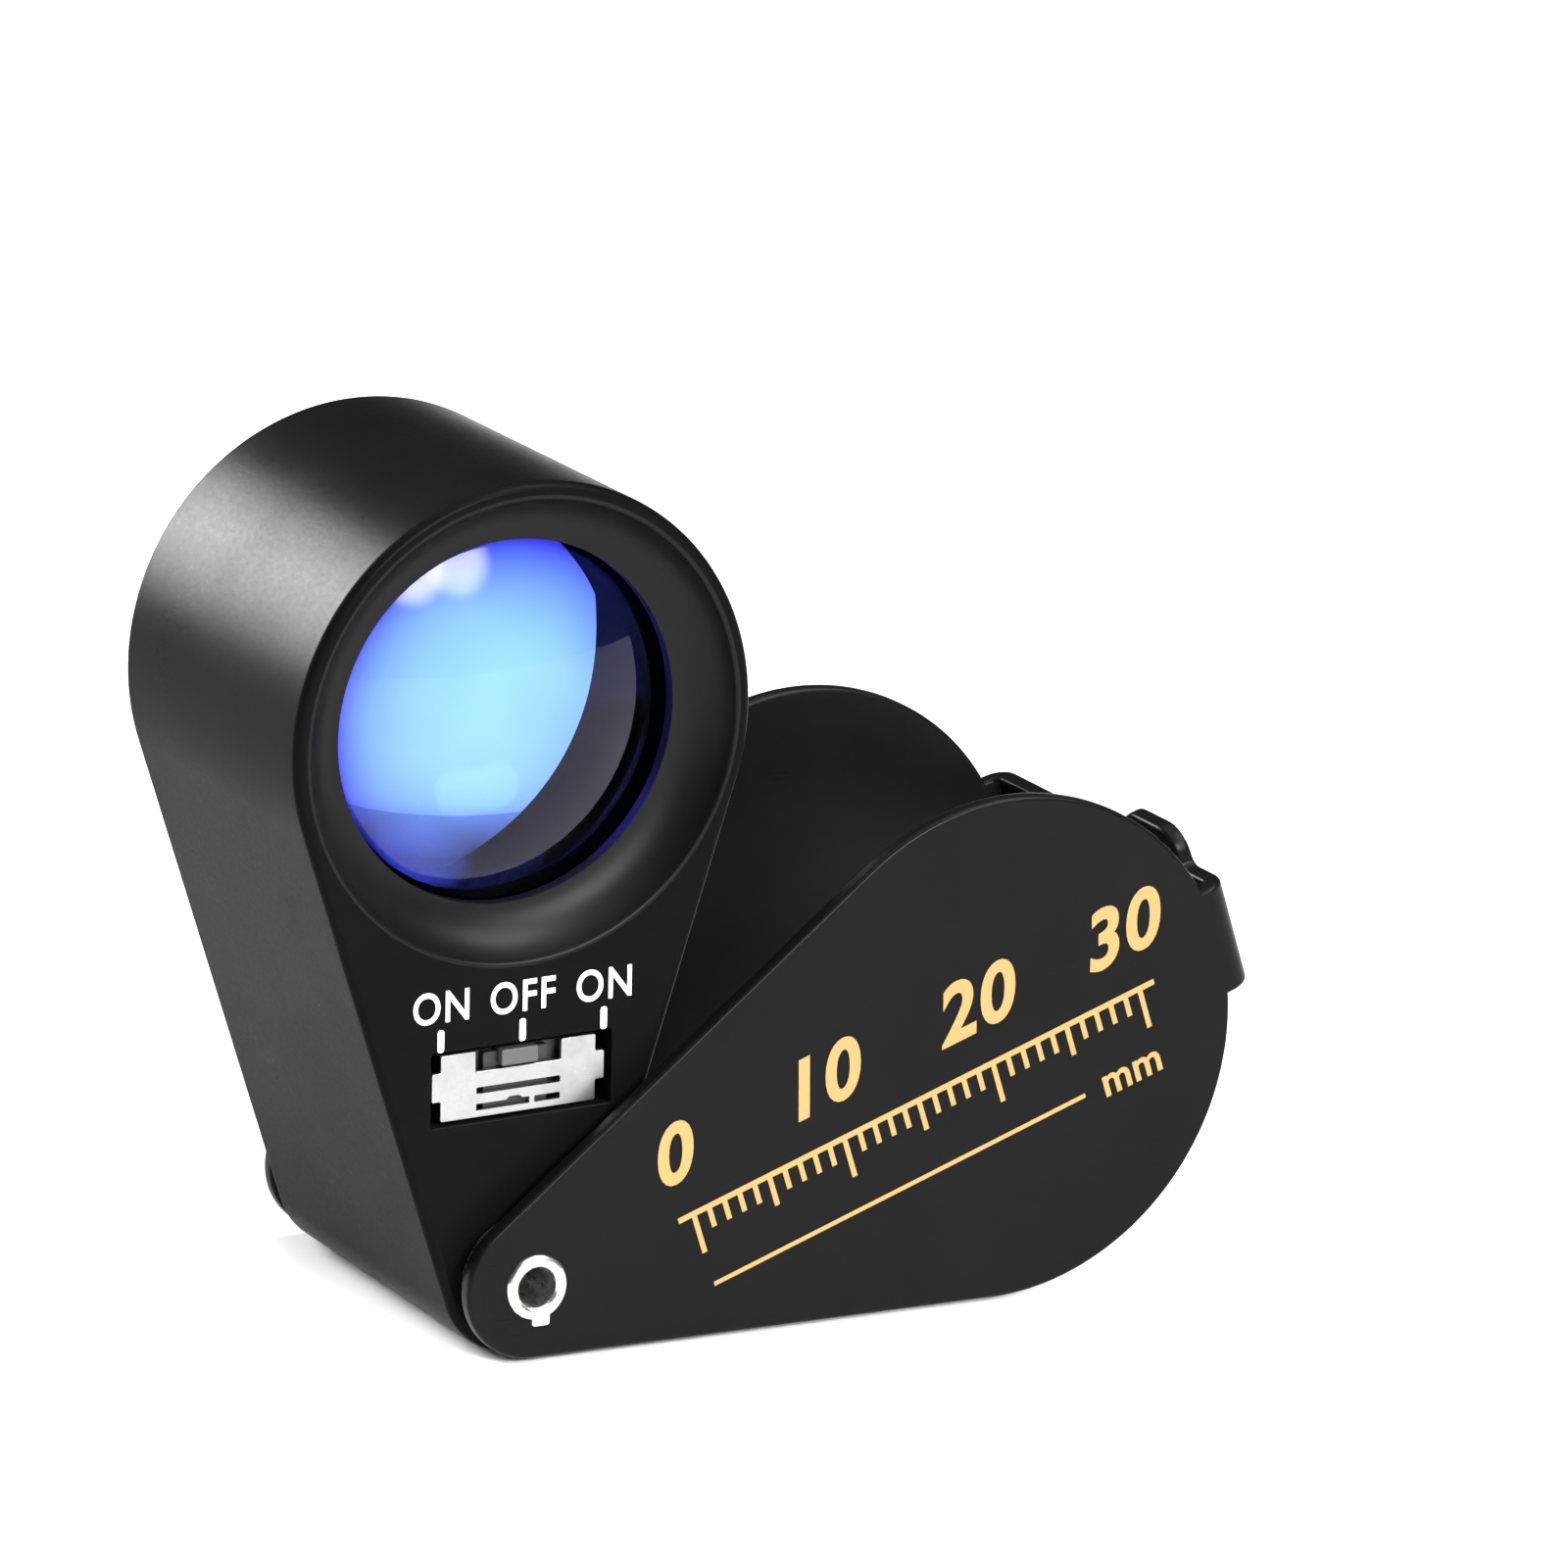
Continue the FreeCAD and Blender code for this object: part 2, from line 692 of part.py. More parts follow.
def make_battery_holder():
    """Cup for the stack of button cells, with a boss for the hatch screw."""
    body = on_barrel("battery_holder")
    slab(body, "cup",
         lambda sketch: teardrop(sketch, "boss_radius", "holder_bore + holder_wall",
                                 "cell_centre - screw_centre", start="screw_centre"),
         HOLDER_REAR, "holder_front")
    hollow(body, "cell_well", lambda sketch: circle(sketch, "holder_bore", up="cell_centre"),
           f"{HOLDER_REAR} - 1", "holder_front - holder_floor")
    hollow(body, "screw_hole", lambda sketch: circle(sketch, "screw_radius + cell_gap", up="screw_centre"),
           f"{HOLDER_REAR} - 1", f"{REAR} + screw_grip + 1")
    return body


def make_button_cells():
    body = on_barrel("button_cells")
    for number in range(int(SIZES["cell_count"])):
        front = f"-contact_sheet - cell_gap - {number} * cell_depth"
        slab(body, f"cell_{number}", lambda sketch: circle(sketch, "cell_radius", up="cell_centre"),
             f"{front} - cell_depth + cell_gap", front)
    return body


def make_floor_contact():
    body = on_barrel("floor_contact")
    slab(body, "disc", lambda sketch: circle(sketch, "contact_radius", up="cell_centre"),
         "-contact_sheet", "0")
    return body


def make_hatch_contact():
    """Bowed leaf of spring sheet between the hatch and the last cell."""
    body = on_barrel("hatch_contact")
    sketch = new_sketch(body, "leaf_section", "YZ_Plane", "-leaf_half_wide")
    crest = "contact_sheet + cell_gap * 2 + cell_count * cell_depth"
    foot = f"-({REAR}) - hatch_depth - cell_gap"
    low = "cell_centre - leaf_half_long"
    high = "cell_centre + leaf_half_long"
    bow = f"(leaf_half_long ^ 2 + ({foot} - ({crest}) - contact_sheet) ^ 2)"
    curve = f"{bow} / (2 * ({foot} - ({crest}) - contact_sheet))"
    outline(sketch, [
        (foot, low),
        (foot, high),
        (f"{foot} - contact_sheet", high),
        (f"{foot} - contact_sheet", low),
    ], {0: (curve, -1), 2: (curve, 1)})
    leaf = body.newObject("PartDesign::Pad", "leaf")
    leaf.Profile = sketch
    bind(leaf, "Length", "2 * leaf_half_wide")
    return body


def make_battery_hatch():
    body = on_barrel("battery_hatch")
    slab(body, "plate",
         lambda sketch: teardrop(sketch, "hatch_narrow", "hatch_wide", "cell_centre - screw_centre",
                                 start="screw_centre"),
         REAR, f"{REAR} + hatch_depth - cell_gap")
    hollow(body, "screw_hole", lambda sketch: circle(sketch, "screw_radius + slip_gap", up="screw_centre"),
           f"{REAR} - 1", f"{REAR} + hatch_depth")
    hollow(body, "head_recess", lambda sketch: circle(sketch, "screw_head + slip_gap", up="screw_centre"),
           f"{REAR} - 1", f"{REAR} + screw_head_depth + slip_gap")
    return body


def make_hatch_screw():
    """Small cross-head screw through the hatch into the holder's boss."""
    body = on_barrel("hatch_screw")
    head_back = f"{REAR} + slip_gap"
    head_front = f"{head_back} + screw_head_depth - cell_gap"
    slab(body, "head", lambda sketch: circle(sketch, "screw_head", up="screw_centre"), head_back, head_front)
    slab(body, "shank", lambda sketch: circle(sketch, "screw_radius", up="screw_centre"),
         head_front, f"{REAR} + screw_grip")
    for name, across, up in (("driver_slot", "driver_long", "driver_wide"),
                             ("driver_cross", "driver_wide", "driver_long")):
        hollow(body, name,
               lambda sketch: rectangle(sketch, f"-{across}", across, f"screw_centre - {up}",
                                        f"screw_centre + {up}"),
               f"{REAR} - 1", f"{head_back} + driver_depth")
    return body


# ---------------------------------------------------------------- control board and wires
BOARD_REAR = "board_front - board_depth"


def make_control_board():
    body = on_barrel("control_board")
    slab(body, "board",
         lambda sketch: rectangle(sketch, "-board_half_wide", "board_half_wide", "board_low", "board_high"),
         BOARD_REAR, "board_front")
    return body


def make_resistors():
    body = on_barrel("resistors")
    for number in (-1, 1):
        middle = f"{number} * resistor_pitch"
        slab(body, f"resistor_{number + 1}",
             lambda sketch: rectangle(
                 sketch, f"{middle} - resistor_half_wide", f"{middle} + resistor_half_wide",
                 "resistor_low", "resistor_low + resistor_long"),
             f"{BOARD_REAR} - resistor_depth", BOARD_REAR)
    return body


def make_light_wires():
    """Four stiff leads from the control board to the tab of the light board."""
    body = on_barrel("light_wires")
    for number, across in enumerate(("-wire_outer", "-wire_inner", "wire_inner", "wire_outer")):
        slab(body, f"wire_{number}", lambda sketch: circle(sketch, "wire_radius", across, "wire_centre"),
             f"-({LIGHT_BOARD_FRONT})", BOARD_REAR)
    return body


# ---------------------------------------------------------------- slide switch
FRAME_FRONT = f"{FRONT} - frame_recess"
FRAME_BACK = f"{FRAME_FRONT} - frame_sheet"
BASE_FRONT = f"{FRAME_BACK} - base_gap"
BASE_BACK = "base_back"


def make_switch_frame():
    """Stamped shell of the switch: a notched face with two spring slots, and folded side skirts."""
    body = on_barrel("switch_frame")

    def face(sketch):
        outline(sketch, [
            ("-frame_half_wide", "frame_low"),
            ("frame_half_wide", "frame_low"),
            ("frame_half_wide", "tab_bottom"),
            ("frame_tab", "tab_bottom"),
            ("frame_tab", "tab_top"),
            ("frame_half_wide", "tab_top"),
            ("frame_half_wide", "frame_high"),
            ("notch_half_wide", "frame_high"),
            ("notch_half_wide", "notch_low"),
            ("-notch_half_wide", "notch_low"),
            ("-notch_half_wide", "frame_high"),
            ("-frame_half_wide", "frame_high"),
            ("-frame_half_wide", "tab_top"),
            ("-frame_tab", "tab_top"),
            ("-frame_tab", "tab_bottom"),
            ("-frame_half_wide", "tab_bottom"),
        ])

    slab(body, "face", face, FRAME_BACK, FRAME_FRONT)
    for side in (-1, 1):
        inner = f"{side} * (frame_half_wide - frame_sheet)"
        outer = f"{side} * frame_half_wide"
        left, right = (outer, inner) if side < 0 else (inner, outer)
        slab(body, f"skirt_{side + 1}",
             lambda sketch: rectangle(sketch, left, right, "frame_low", "frame_high"),
             f"{FRAME_BACK} - frame_skirt", FRAME_BACK)
    for name, middle in (("first_slot", "slot_first"), ("second_slot", "slot_second")):
        hollow(body, name,
               lambda sketch: rectangle(sketch, "-slot_half_long", "slot_half_long",
                                        f"{middle} - slot_wide / 2", f"{middle} + slot_wide / 2"),
               FRAME_BACK, f"{FRAME_FRONT} + 1")
    return body


def make_switch_base():
    body = on_barrel("switch_base")
    inner = "frame_half_wide - frame_sheet - slip_gap"
    slab(body, "block", lambda sketch: rectangle(sketch, f"-({inner})", inner, "base_low", "base_high"),
         BASE_BACK, BASE_FRONT)
    return body


def make_switch_pins():
    """Four terminals from the switch's base down to the control board."""
    body = on_barrel("switch_pins")
    for number in range(4):
        across = f"({number} - 1.5) * pin_pitch"
        slab(body, f"pin_{number}",
             lambda sketch: circle(sketch, "pin_radius", across, "(base_low + base_high) / 2"),
             "board_front", BASE_BACK)
    return body


def make_switch_slider():
    """Carriage behind the frame's face, with the knob that stands out through the notch."""
    body = on_barrel("switch_slider")
    slab(body, "carriage",
         lambda sketch: rectangle(
             sketch, "-carriage_half_wide", "carriage_half_wide", "base_low", "base_high"),
         f"{BASE_FRONT} + carriage_gap", f"{FRAME_BACK} - carriage_gap")
    slab(body, "knob",
         lambda sketch: rectangle(sketch, "-knob_half_wide", "knob_half_wide", "knob_low", "knob_high"),
         f"{FRAME_BACK} - carriage_gap", f"{FRAME_FRONT} + knob_proud")
    return body


# ---------------------------------------------------------------- the whole loupe
pieces = [
    make_folding_cover(),
    make_pivot_rivet(),
    make_washer("front_washer", 1),
    make_washer("rear_washer", -1),
    make_barrel_housing(),
    make_rear_plate(),
    make_pivot_bushing(),
    make_eyepiece_bezel(),
    make_lens_tube(),
    make_locating_sleeve(),
    make_eye_lens(),
    make_crown_lens(),
    make_field_lens(),
    make_lens_retainer(),
    make_light_board(),
    make_light_chips("white_light_chips", 0),
    make_light_chips("violet_light_chips", 30),
    make_light_window(),
    make_battery_holder(),
    make_button_cells(),
    make_floor_contact(),
    make_hatch_contact(),
    make_battery_hatch(),
    make_hatch_screw(),
    make_control_board(),
    make_resistors(),
    make_light_wires(),
    make_switch_frame(),
    make_switch_base(),
    make_switch_pins(),
    make_switch_slider(),
]
document.recompute()

for item in document.Objects:
    if {"Invalid", "Error"} & set(item.State):
        raise RuntimeError(f"{item.Name}: {item.State}")
for piece in pieces:
    if piece.Shape.isNull() or not piece.Shape.isValid() or not piece.Shape.Solids:
        raise RuntimeError(piece.Label + " has no valid solid")

os.makedirs("parts", exist_ok=True)
for piece in pieces:
    piece.Shape.exportStep(f"parts/{piece.Label}.step")
    print(f"{piece.Label:22s} {len(piece.Shape.Solids)} solid(s) {piece.Shape.Volume:10.3f} mm3")
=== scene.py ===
import math

import bmesh
import bpy
from mathutils import Matrix, Vector


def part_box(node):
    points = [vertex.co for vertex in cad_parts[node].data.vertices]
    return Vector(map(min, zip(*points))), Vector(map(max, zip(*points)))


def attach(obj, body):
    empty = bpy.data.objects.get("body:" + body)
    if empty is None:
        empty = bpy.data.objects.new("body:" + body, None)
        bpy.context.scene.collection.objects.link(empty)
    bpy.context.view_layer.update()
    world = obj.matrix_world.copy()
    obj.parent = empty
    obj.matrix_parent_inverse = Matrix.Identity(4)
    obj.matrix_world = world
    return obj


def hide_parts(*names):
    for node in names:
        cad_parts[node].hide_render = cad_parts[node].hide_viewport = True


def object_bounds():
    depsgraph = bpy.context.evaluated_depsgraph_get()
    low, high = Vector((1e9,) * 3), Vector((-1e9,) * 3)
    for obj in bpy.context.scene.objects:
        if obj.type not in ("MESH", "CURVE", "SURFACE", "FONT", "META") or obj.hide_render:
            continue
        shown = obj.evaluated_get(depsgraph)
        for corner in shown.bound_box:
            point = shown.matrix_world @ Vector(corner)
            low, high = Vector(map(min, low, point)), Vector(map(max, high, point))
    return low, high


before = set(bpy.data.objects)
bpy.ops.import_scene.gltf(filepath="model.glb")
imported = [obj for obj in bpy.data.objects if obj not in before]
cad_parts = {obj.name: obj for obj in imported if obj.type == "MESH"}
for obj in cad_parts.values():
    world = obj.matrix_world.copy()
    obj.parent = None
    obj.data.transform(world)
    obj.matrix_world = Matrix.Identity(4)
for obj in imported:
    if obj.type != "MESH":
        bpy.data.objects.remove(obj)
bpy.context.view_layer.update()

# Folding jeweller's loupe. Metres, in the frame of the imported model: the pivot's axis is the Y axis,
# +Z is up, and the user's eye is on the -Y side.

MM = 0.001
FULL_TURN = 2 * math.pi
QUARTER_TURN = math.pi / 2
HERE = Matrix.Identity(4)

# How close two measures have to be to count as the same.
SAME_PLACE = 0.02 * MM
SAME_POINT = 1e-8
SAME_INK_POINT = 1e-7
SAME_STATION = 1e-7
ON_AXIS = 1e-9
NO_BEND = 1e-4


# ------------------------------------------------------------------ sizes, all read from the frame
def corners_in(place, node):
    """Corners of a node in a frame of reference of its own."""
    back = place.inverted()
    return [back @ vertex.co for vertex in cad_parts[node].data.vertices]


def box_in(place, node):
    """Lowest and highest corner of a node in a frame of reference of its own."""
    points = corners_in(place, node)
    low = Vector([min(point[axis] for point in points) for axis in range(3)])
    high = Vector([max(point[axis] for point in points) for axis in range(3)])
    return low, high


def radii_in(place, node, depth=None):
    """Smallest and largest distance of a node's corners from the Y axis of place, all or at one depth."""
    radii = [math.hypot(point.x, point.z) for point in corners_in(place, node)
             if depth is None or abs(point.y - depth) < SAME_PLACE]
    return min(radii), max(radii)


lens_low, lens_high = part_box("eye_lens")
lens_middle = (lens_low + lens_high) / 2
REACH = math.hypot(lens_middle.x, lens_middle.z)
LEAN = math.atan2(lens_middle.x, lens_middle.z)

# The barrel's own frame: +Z along its centre line from the pivot to the lens.
BARREL = Matrix.Rotation(LEAN, 4, "Y")
# The lens's frame: the barrel's, moved out to the optical axis.
LENS = BARREL @ Matrix.Translation((0, 0, REACH))

shell_low, shell_high = box_in(BARREL, "barrel_housing")
BARREL_FRONT = shell_low.y
BARREL_REAR = shell_high.y
BARREL_NARROW = -shell_low.z
BARREL_WIDE = shell_high.z - REACH

cover_low, cover_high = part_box("folding_cover")
COVER_FRONT = cover_low.y
COVER_NARROW = -cover_low.z
COVER_WIDE = (cover_high.z + COVER_NARROW) / 2
COVER_RISE = math.asin((COVER_WIDE - COVER_NARROW) / REACH)

# The cover's own frame: +X along the plates' centre line from the pivot to the web.
COVER = Matrix.Rotation(-COVER_RISE, 4, "Y")
_, strip_high = box_in(COVER, "folding_cover")
washer_low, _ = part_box("front_washer")
COVER_SHEET = washer_low.y - COVER_FRONT
WEB_OUTSIDE = strip_high.x


# ------------------------------------------------------------------ outlines: flat lists of points
# Cosine of half the turn of the sharpest corner that is followed in full when an outline is moved in.
SHARPEST = 0.3


def arc(centre, radius, first, last, steps):
    """Points along an arc, from one angle to another, ends included."""
    return [(centre[0] + radius * math.cos(first + (last - first) * step / steps),
             centre[1] + radius * math.sin(first + (last - first) * step / steps))
            for step in range(steps + 1)]


def circle(radius, centre=(0, 0), steps=96):
    return arc(centre, radius, 0, FULL_TURN, steps)[:-1]


def teardrop(narrow, wide, steps=128):
    """Narrow arc about the pivot and wide arc about the optical axis, joined by common tangents."""
    lean = math.asin((wide - narrow) / REACH)
    top = arc((0, REACH), wide, -lean, math.pi + lean, steps)
    bottom = arc((0, 0), narrow, math.pi + lean, FULL_TURN - lean, steps // 2)
    return top + bottom


def arc_between(centre, radius, start, finish, steps):
    """The shorter arc about a centre, between the directions of start and finish from it."""
    first = math.atan2(start.y, start.x)
    swing = (math.atan2(finish.y, finish.x) - first + math.pi) % FULL_TURN - math.pi
    return arc(centre, radius, first, first + swing, steps)


def soft_corner(before, corner, after, radius, steps):
    """Arc that rounds a corner between its neighbours, or the corner itself where there is no bend."""
    here = Vector(corner)
    back = (Vector(before) - here).normalized()
    onward = (Vector(after) - here).normalized()
    half = back.angle(onward) / 2
    if radius <= 0 or abs(half - QUARTER_TURN) < NO_BEND:
        return [tuple(here)]
    away = radius / math.tan(half)
    middle = here + (back + onward).normalized() * (radius / math.sin(half))
    return arc_between(middle, radius, here + back * away - middle, here + onward * away - middle, steps)


def rounded(corners, radius, steps=5):
    """A closed outline with its corners rounded."""
    points = []
    for number, corner in enumerate(corners):
        after = corners[(number + 1) % len(corners)]
        points += soft_corner(corners[number - 1], corner, after, radius, steps)
    return points


def rectangle(left, right, low, high, radius=0.0):
    return rounded([(left, low), (right, low), (right, high), (left, high)], radius)


def moved_in(outline, distance):
    """An anticlockwise outline moved inwards by a distance along its corners' bisectors."""
    if not distance:
        return list(outline)
    points = []
    for number, corner in enumerate(outline):
        here = Vector(corner)
        before = (here - Vector(outline[number - 1])).normalized()
        after = (Vector(outline[(number + 1) % len(outline)]) - here).normalized()
        inward = Vector((-before.y - after.y, before.x + after.x)).normalized()
        stretch = 1 / max(SHARPEST, inward.dot(Vector((-after.y, after.x))))
        points.append(tuple(here + inward * distance * stretch))
    return points


def quarter_round(level, direction, radius, steps):
    """(level, inset) pairs over a rounded edge, from the wall to the face at level."""
    pairs = []
    for step in range(steps + 1):
        angle = QUARTER_TURN * step / steps
        pairs.append((level - direction * radius * (1 - math.sin(angle)), radius * (1 - math.cos(angle))))
    return pairs


# ------------------------------------------------------------------ meshes
def in_scene(name, contents):
    """A new object that holds a mesh, some text, a lamp or a camera, put into the scene."""
    holder = bpy.data.objects.new(name, contents)
    bpy.context.scene.collection.objects.link(holder)
    return holder


def weld(mesh, gap):
    """Make one corner of those that lie within a gap, and turn every face outwards."""
    work = bmesh.new()
    work.from_mesh(mesh)
    bmesh.ops.remove_doubles(work, verts=work.verts, dist=gap)
    bmesh.ops.recalc_face_normals(work, faces=work.faces)
    work.to_mesh(mesh)
    work.free()


def new_piece(name, vertices, faces, place):
    mesh = bpy.data.meshes.new(name)
    mesh.from_pydata(vertices, [], faces)
    mesh.transform(place)
    weld(mesh, SAME_POINT)
    return in_scene(name, mesh)


def walls(rows, count):
    """Faces that join each ring of count corners to the next ring, all the way round."""
    faces = []
    for row in range(rows - 1):
        for step in range(count):
            following = (step + 1) % count
            faces.append((row * count + step, row * count + following,
                          (row + 1) * count + following, (row + 1) * count + step))
    return faces


def stack(name, outline, levels, place):
    """Closed solid through copies of an outline, one at each (depth along Y, inset)."""
    rings = [[(x, depth, z) for x, z in moved_in(outline, inset)] for depth, inset in levels]
    count = len(outline)
    vertices = [vertex for ring in rings for vertex in ring]
    caps = [tuple(range(count)), tuple(reversed(range(len(vertices) - count, len(vertices))))]
    return new_piece(name, vertices, caps + walls(len(rings), count), place)


def slab(name, outline, front, rear, place, front_round=0.0, rear_round=0.0, steps=5):
    """Solid between two depths, with rounded or sharp rims."""
    levels = [(front, 0.0)]
    if front_round:
        levels = list(reversed(quarter_round(front, -1, front_round, steps)))
    levels += quarter_round(rear, 1, rear_round, steps) if rear_round else [(rear, 0.0)]
    return stack(name, outline, levels, place)


def turned(name, section, place, steps=160):
    """Closed solid turned about the Y axis of place. The section is (depth, radius) pairs."""
    vertices, faces = [], []
    count = len(section)
    for step in range(steps):
        angle = FULL_TURN * step / steps
        vertices += [(radius * math.cos(angle), depth, radius * math.sin(angle)) for depth, radius in section]
    for step in range(steps):
        this, other = step * count, (step + 1) % steps * count
        for number in range(count):
            following = (number + 1) % count
            on_axis = section[number][1] < ON_AXIS and section[following][1] < ON_AXIS
            if not on_axis:
                faces.append((this + number, this + following, other + following, other + number))
    return new_piece(name, vertices, faces, place)


def as_made(piece):
    """A piece's mesh with its modifiers in it, or a text's letters as a mesh."""
    graph = bpy.context.evaluated_depsgraph_get()
    return bpy.data.meshes.new_from_object(piece.evaluated_get(graph))


def settle(piece):
    """Make a piece's modifiers part of its mesh."""
    mesh = as_made(piece)
    piece.modifiers.clear()
    piece.data = mesh
    return piece


def combine(piece, operation, others):
    """Cut other solids out of a piece, or join them to it, one after another."""
    for other in others:
        modifier = piece.modifiers.new("combine", "BOOLEAN")
        modifier.operation = operation
        modifier.solver = "EXACT"
        modifier.object = other
        settle(piece)
        bpy.data.objects.remove(other)
    return piece


def cut(piece, *cutters):
    return combine(piece, "DIFFERENCE", cutters)


def join(piece, *others):
    return combine(piece, "UNION", others)


def smooth(piece, angle=40):
    """Shade curved stretches smoothly and keep flat faces flat."""
    piece.data.polygons.foreach_set("use_smooth", [True] * len(piece.data.polygons))
    piece.data.set_sharp_from_angle(angle=math.radians(angle))
    weighted = piece.modifiers.new("flat faces stay flat", "WEIGHTED_NORMAL")
    weighted.keep_sharp = True
    weighted.weight = 100
    return settle(piece)


def finish_piece(piece, body, material, slot, *nodes):
    """Give a piece its material and its body, and say which CAD nodes it stands for."""
    piece.data.materials.clear()
    piece.data.materials.append(material)
    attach(piece, body)
    if nodes:
        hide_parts(*nodes)


# ------------------------------------------------------------------ materials
class Wire:
    """A value running between shader nodes. Arithmetic on it adds Math nodes."""

    def __init__(self, nodes, socket):
        self.nodes = nodes
        self.socket = socket

    def _maths(self, operation, *values):
        return self.nodes.node("Math", {"operation": operation}, dict(enumerate(values)))

    def __add__(self, other):
        return self._maths("ADD", self, other)

    def __mul__(self, other):
        return self._maths("MULTIPLY", self, other)

    def __pow__(self, other):
        return self._maths("POWER", self, other)

    def __rpow__(self, other):
        return self._maths("POWER", other, self)

    __radd__ = __add__
    __rmul__ = __mul__


class Nodes:
    """The shader nodes of a material or of the room."""

    def __init__(self, tree):
        self.tree = tree

    def node(self, kind, settings=None, inputs=None, output=0):
        """Add a node: its settings first, then values or links for its sockets. Returns one output."""
        node = self.tree.nodes.new("ShaderNode" + kind)
        for setting, choice in (settings or {}).items():
            setattr(node, setting, choice)
        for socket, value in (inputs or {}).items():
            if isinstance(value, Wire):
                self.tree.links.new(value.socket, node.inputs[socket])
            else:
                node.inputs[socket].default_value = value
        return Wire(self, node.outputs[output])

    def between(self, value, low, high, out_low=0.0, out_high=1.0):
        """value, carried from low..high to out_low..out_high and held at the ends."""
        return self.node("MapRange", {}, {0: value, 1: low, 2: high, 3: out_low, 4: out_high})


class Finish(Nodes):
    """A material being put together round one Principled shader."""

    def __init__(self, name, **constants):
        self.material = bpy.data.materials.new(name)
        self.material.use_nodes = True
        super().__init__(self.material.node_tree)
        self.tree.nodes.clear()
        output = self.tree.nodes.new("ShaderNodeOutputMaterial")
        self.shader = self.tree.nodes.new("ShaderNodeBsdfPrincipled")
        self.tree.links.new(self.shader.outputs[0], output.inputs["Surface"])
        for socket, constant in constants.items():
            self.shader.inputs[socket.replace("_", " ")].default_value = constant

    def feed(self, socket, wire):
        self.tree.links.new(wire.socket, self.shader.inputs[socket])

    def place(self):
        """The place on the surface, in metres in the model's frame."""
        return self.node("TexCoord", output="Object")

    def stretched(self, scale):
        """The place with each of its three measures multiplied."""
        return self.node("VectorMath", {"operation": "MULTIPLY"}, {0: self.place(), 1: scale})

    def grain(self, scale, detail=4.0, roughness=0.6, vector=None):
        """Noise from 0 to 1, about one grain every 1 / scale metres."""
        return self.node("TexNoise", {}, {"Vector": vector or self.place(), "Scale": scale,
                                          "Detail": detail, "Roughness": roughness}, output="Fac")

    def blend(self, share, first, second):
        """Colour that goes from first to second as share goes from 0 to 1."""
        return self.node("Mix", {"data_type": "RGBA"}, {0: share, 6: first, 7: second}, output=2)

    def bump(self, height, distance, strength):
        self.feed("Normal", self.node("Bump", {}, {"Height": height, "Distance": distance,
                                                   "Strength": strength}))

    def from_optical_axis(self):
        """Distance from the optical axis, in metres."""
        centre = tuple(LENS.translation)
        away = self.node("VectorMath", {"operation": "SUBTRACT"}, {0: self.place(), 1: centre})
        flat = self.node("VectorMath", {"operation": "MULTIPLY"}, {0: away, 1: (1, 0, 1)})
        return self.node("VectorMath", {"operation": "LENGTH"}, {0: flat}, output="Value")


def grey(value):
    return (value, value, value, 1)


def darkened(shade, share):
    """A colour with each of its channels multiplied by a share."""
    return (*(channel * share for channel in shade[:3]), 1)


# The switch knob's carriage is this deep, and behind its front the plastic is painted darker as shade in the
# recess.
CARRIAGE_DEPTH = 0.5 * MM

# The blacks vary between these two, and the lathe leaves a ring at every feed.
DEEP_BLACK = grey(0.0022)
WORN_BLACK = grey(0.0045)
# Painted shade: the dark colour given to the knob's carriage in the recess behind the switch's face.
RECESS_SHADE = grey(0.002)
LATHE_FEED = 0.07 * MM


def satin_anodised(name, shade, roughness):
    """Black anodised aluminium: a fine blasted grain under a satin sheen."""
    finish = Finish(name, Specular_IOR_Level=0.015)
    fine = finish.grain(3600, 2.0, 0.6, finish.stretched((1, 0.6, 1)))
    cloud = finish.grain(120, 3.0)
    finish.feed("Base Color", finish.blend(cloud, darkened(shade, 0.8), darkened(shade, 1.4)))
    finish.feed("Roughness", finish.between(cloud * 0.5 + fine * 0.5, 0.3, 0.7,
                                            roughness - 0.06, roughness + 0.06))
    finish.bump(fine, 0.0055 * MM, 0.8)
    return finish.material


def black_lacquer(name):
    """Smooth black lacquer over sheet steel, with a trace of orange peel and hairline rubs."""
    finish = Finish(name, Specular_IOR_Level=0.055)
    peel = finish.grain(900, 2.0, 0.5)
    cloud = finish.grain(90, 3.0)
    rubs = finish.grain(400, 6.0, 0.7, finish.stretched((1, 1, 14)))
    finish.feed("Base Color", finish.blend(cloud, DEEP_BLACK, WORN_BLACK))
    finish.feed("Roughness", finish.between(rubs * 0.5 + cloud * 0.5, 0.35, 0.65, 0.27, 0.36))
    finish.bump(peel, 0.006 * MM, 0.35)
    return finish.material


def turned_black(name, sheen, roughness):
    """Black anodised metal with the lathe's fine rings."""
    finish = Finish(name, Specular_IOR_Level=sheen)
    turns = finish.from_optical_axis() * (FULL_TURN / LATHE_FEED)
    rings = finish.node("Math", {"operation": "SINE"}, {0: turns})
    fine = finish.grain(8000, 2.0, 0.7)
    cloud = finish.grain(150, 3.0)
    finish.feed("Base Color", finish.blend(cloud, DEEP_BLACK, WORN_BLACK))
    finish.feed("Roughness", finish.between(cloud, 0.35, 0.65, roughness - 0.03, roughness + 0.05))
    finish.bump(rings * 0.15 + fine, 0.003 * MM, 0.5)
    return finish.material


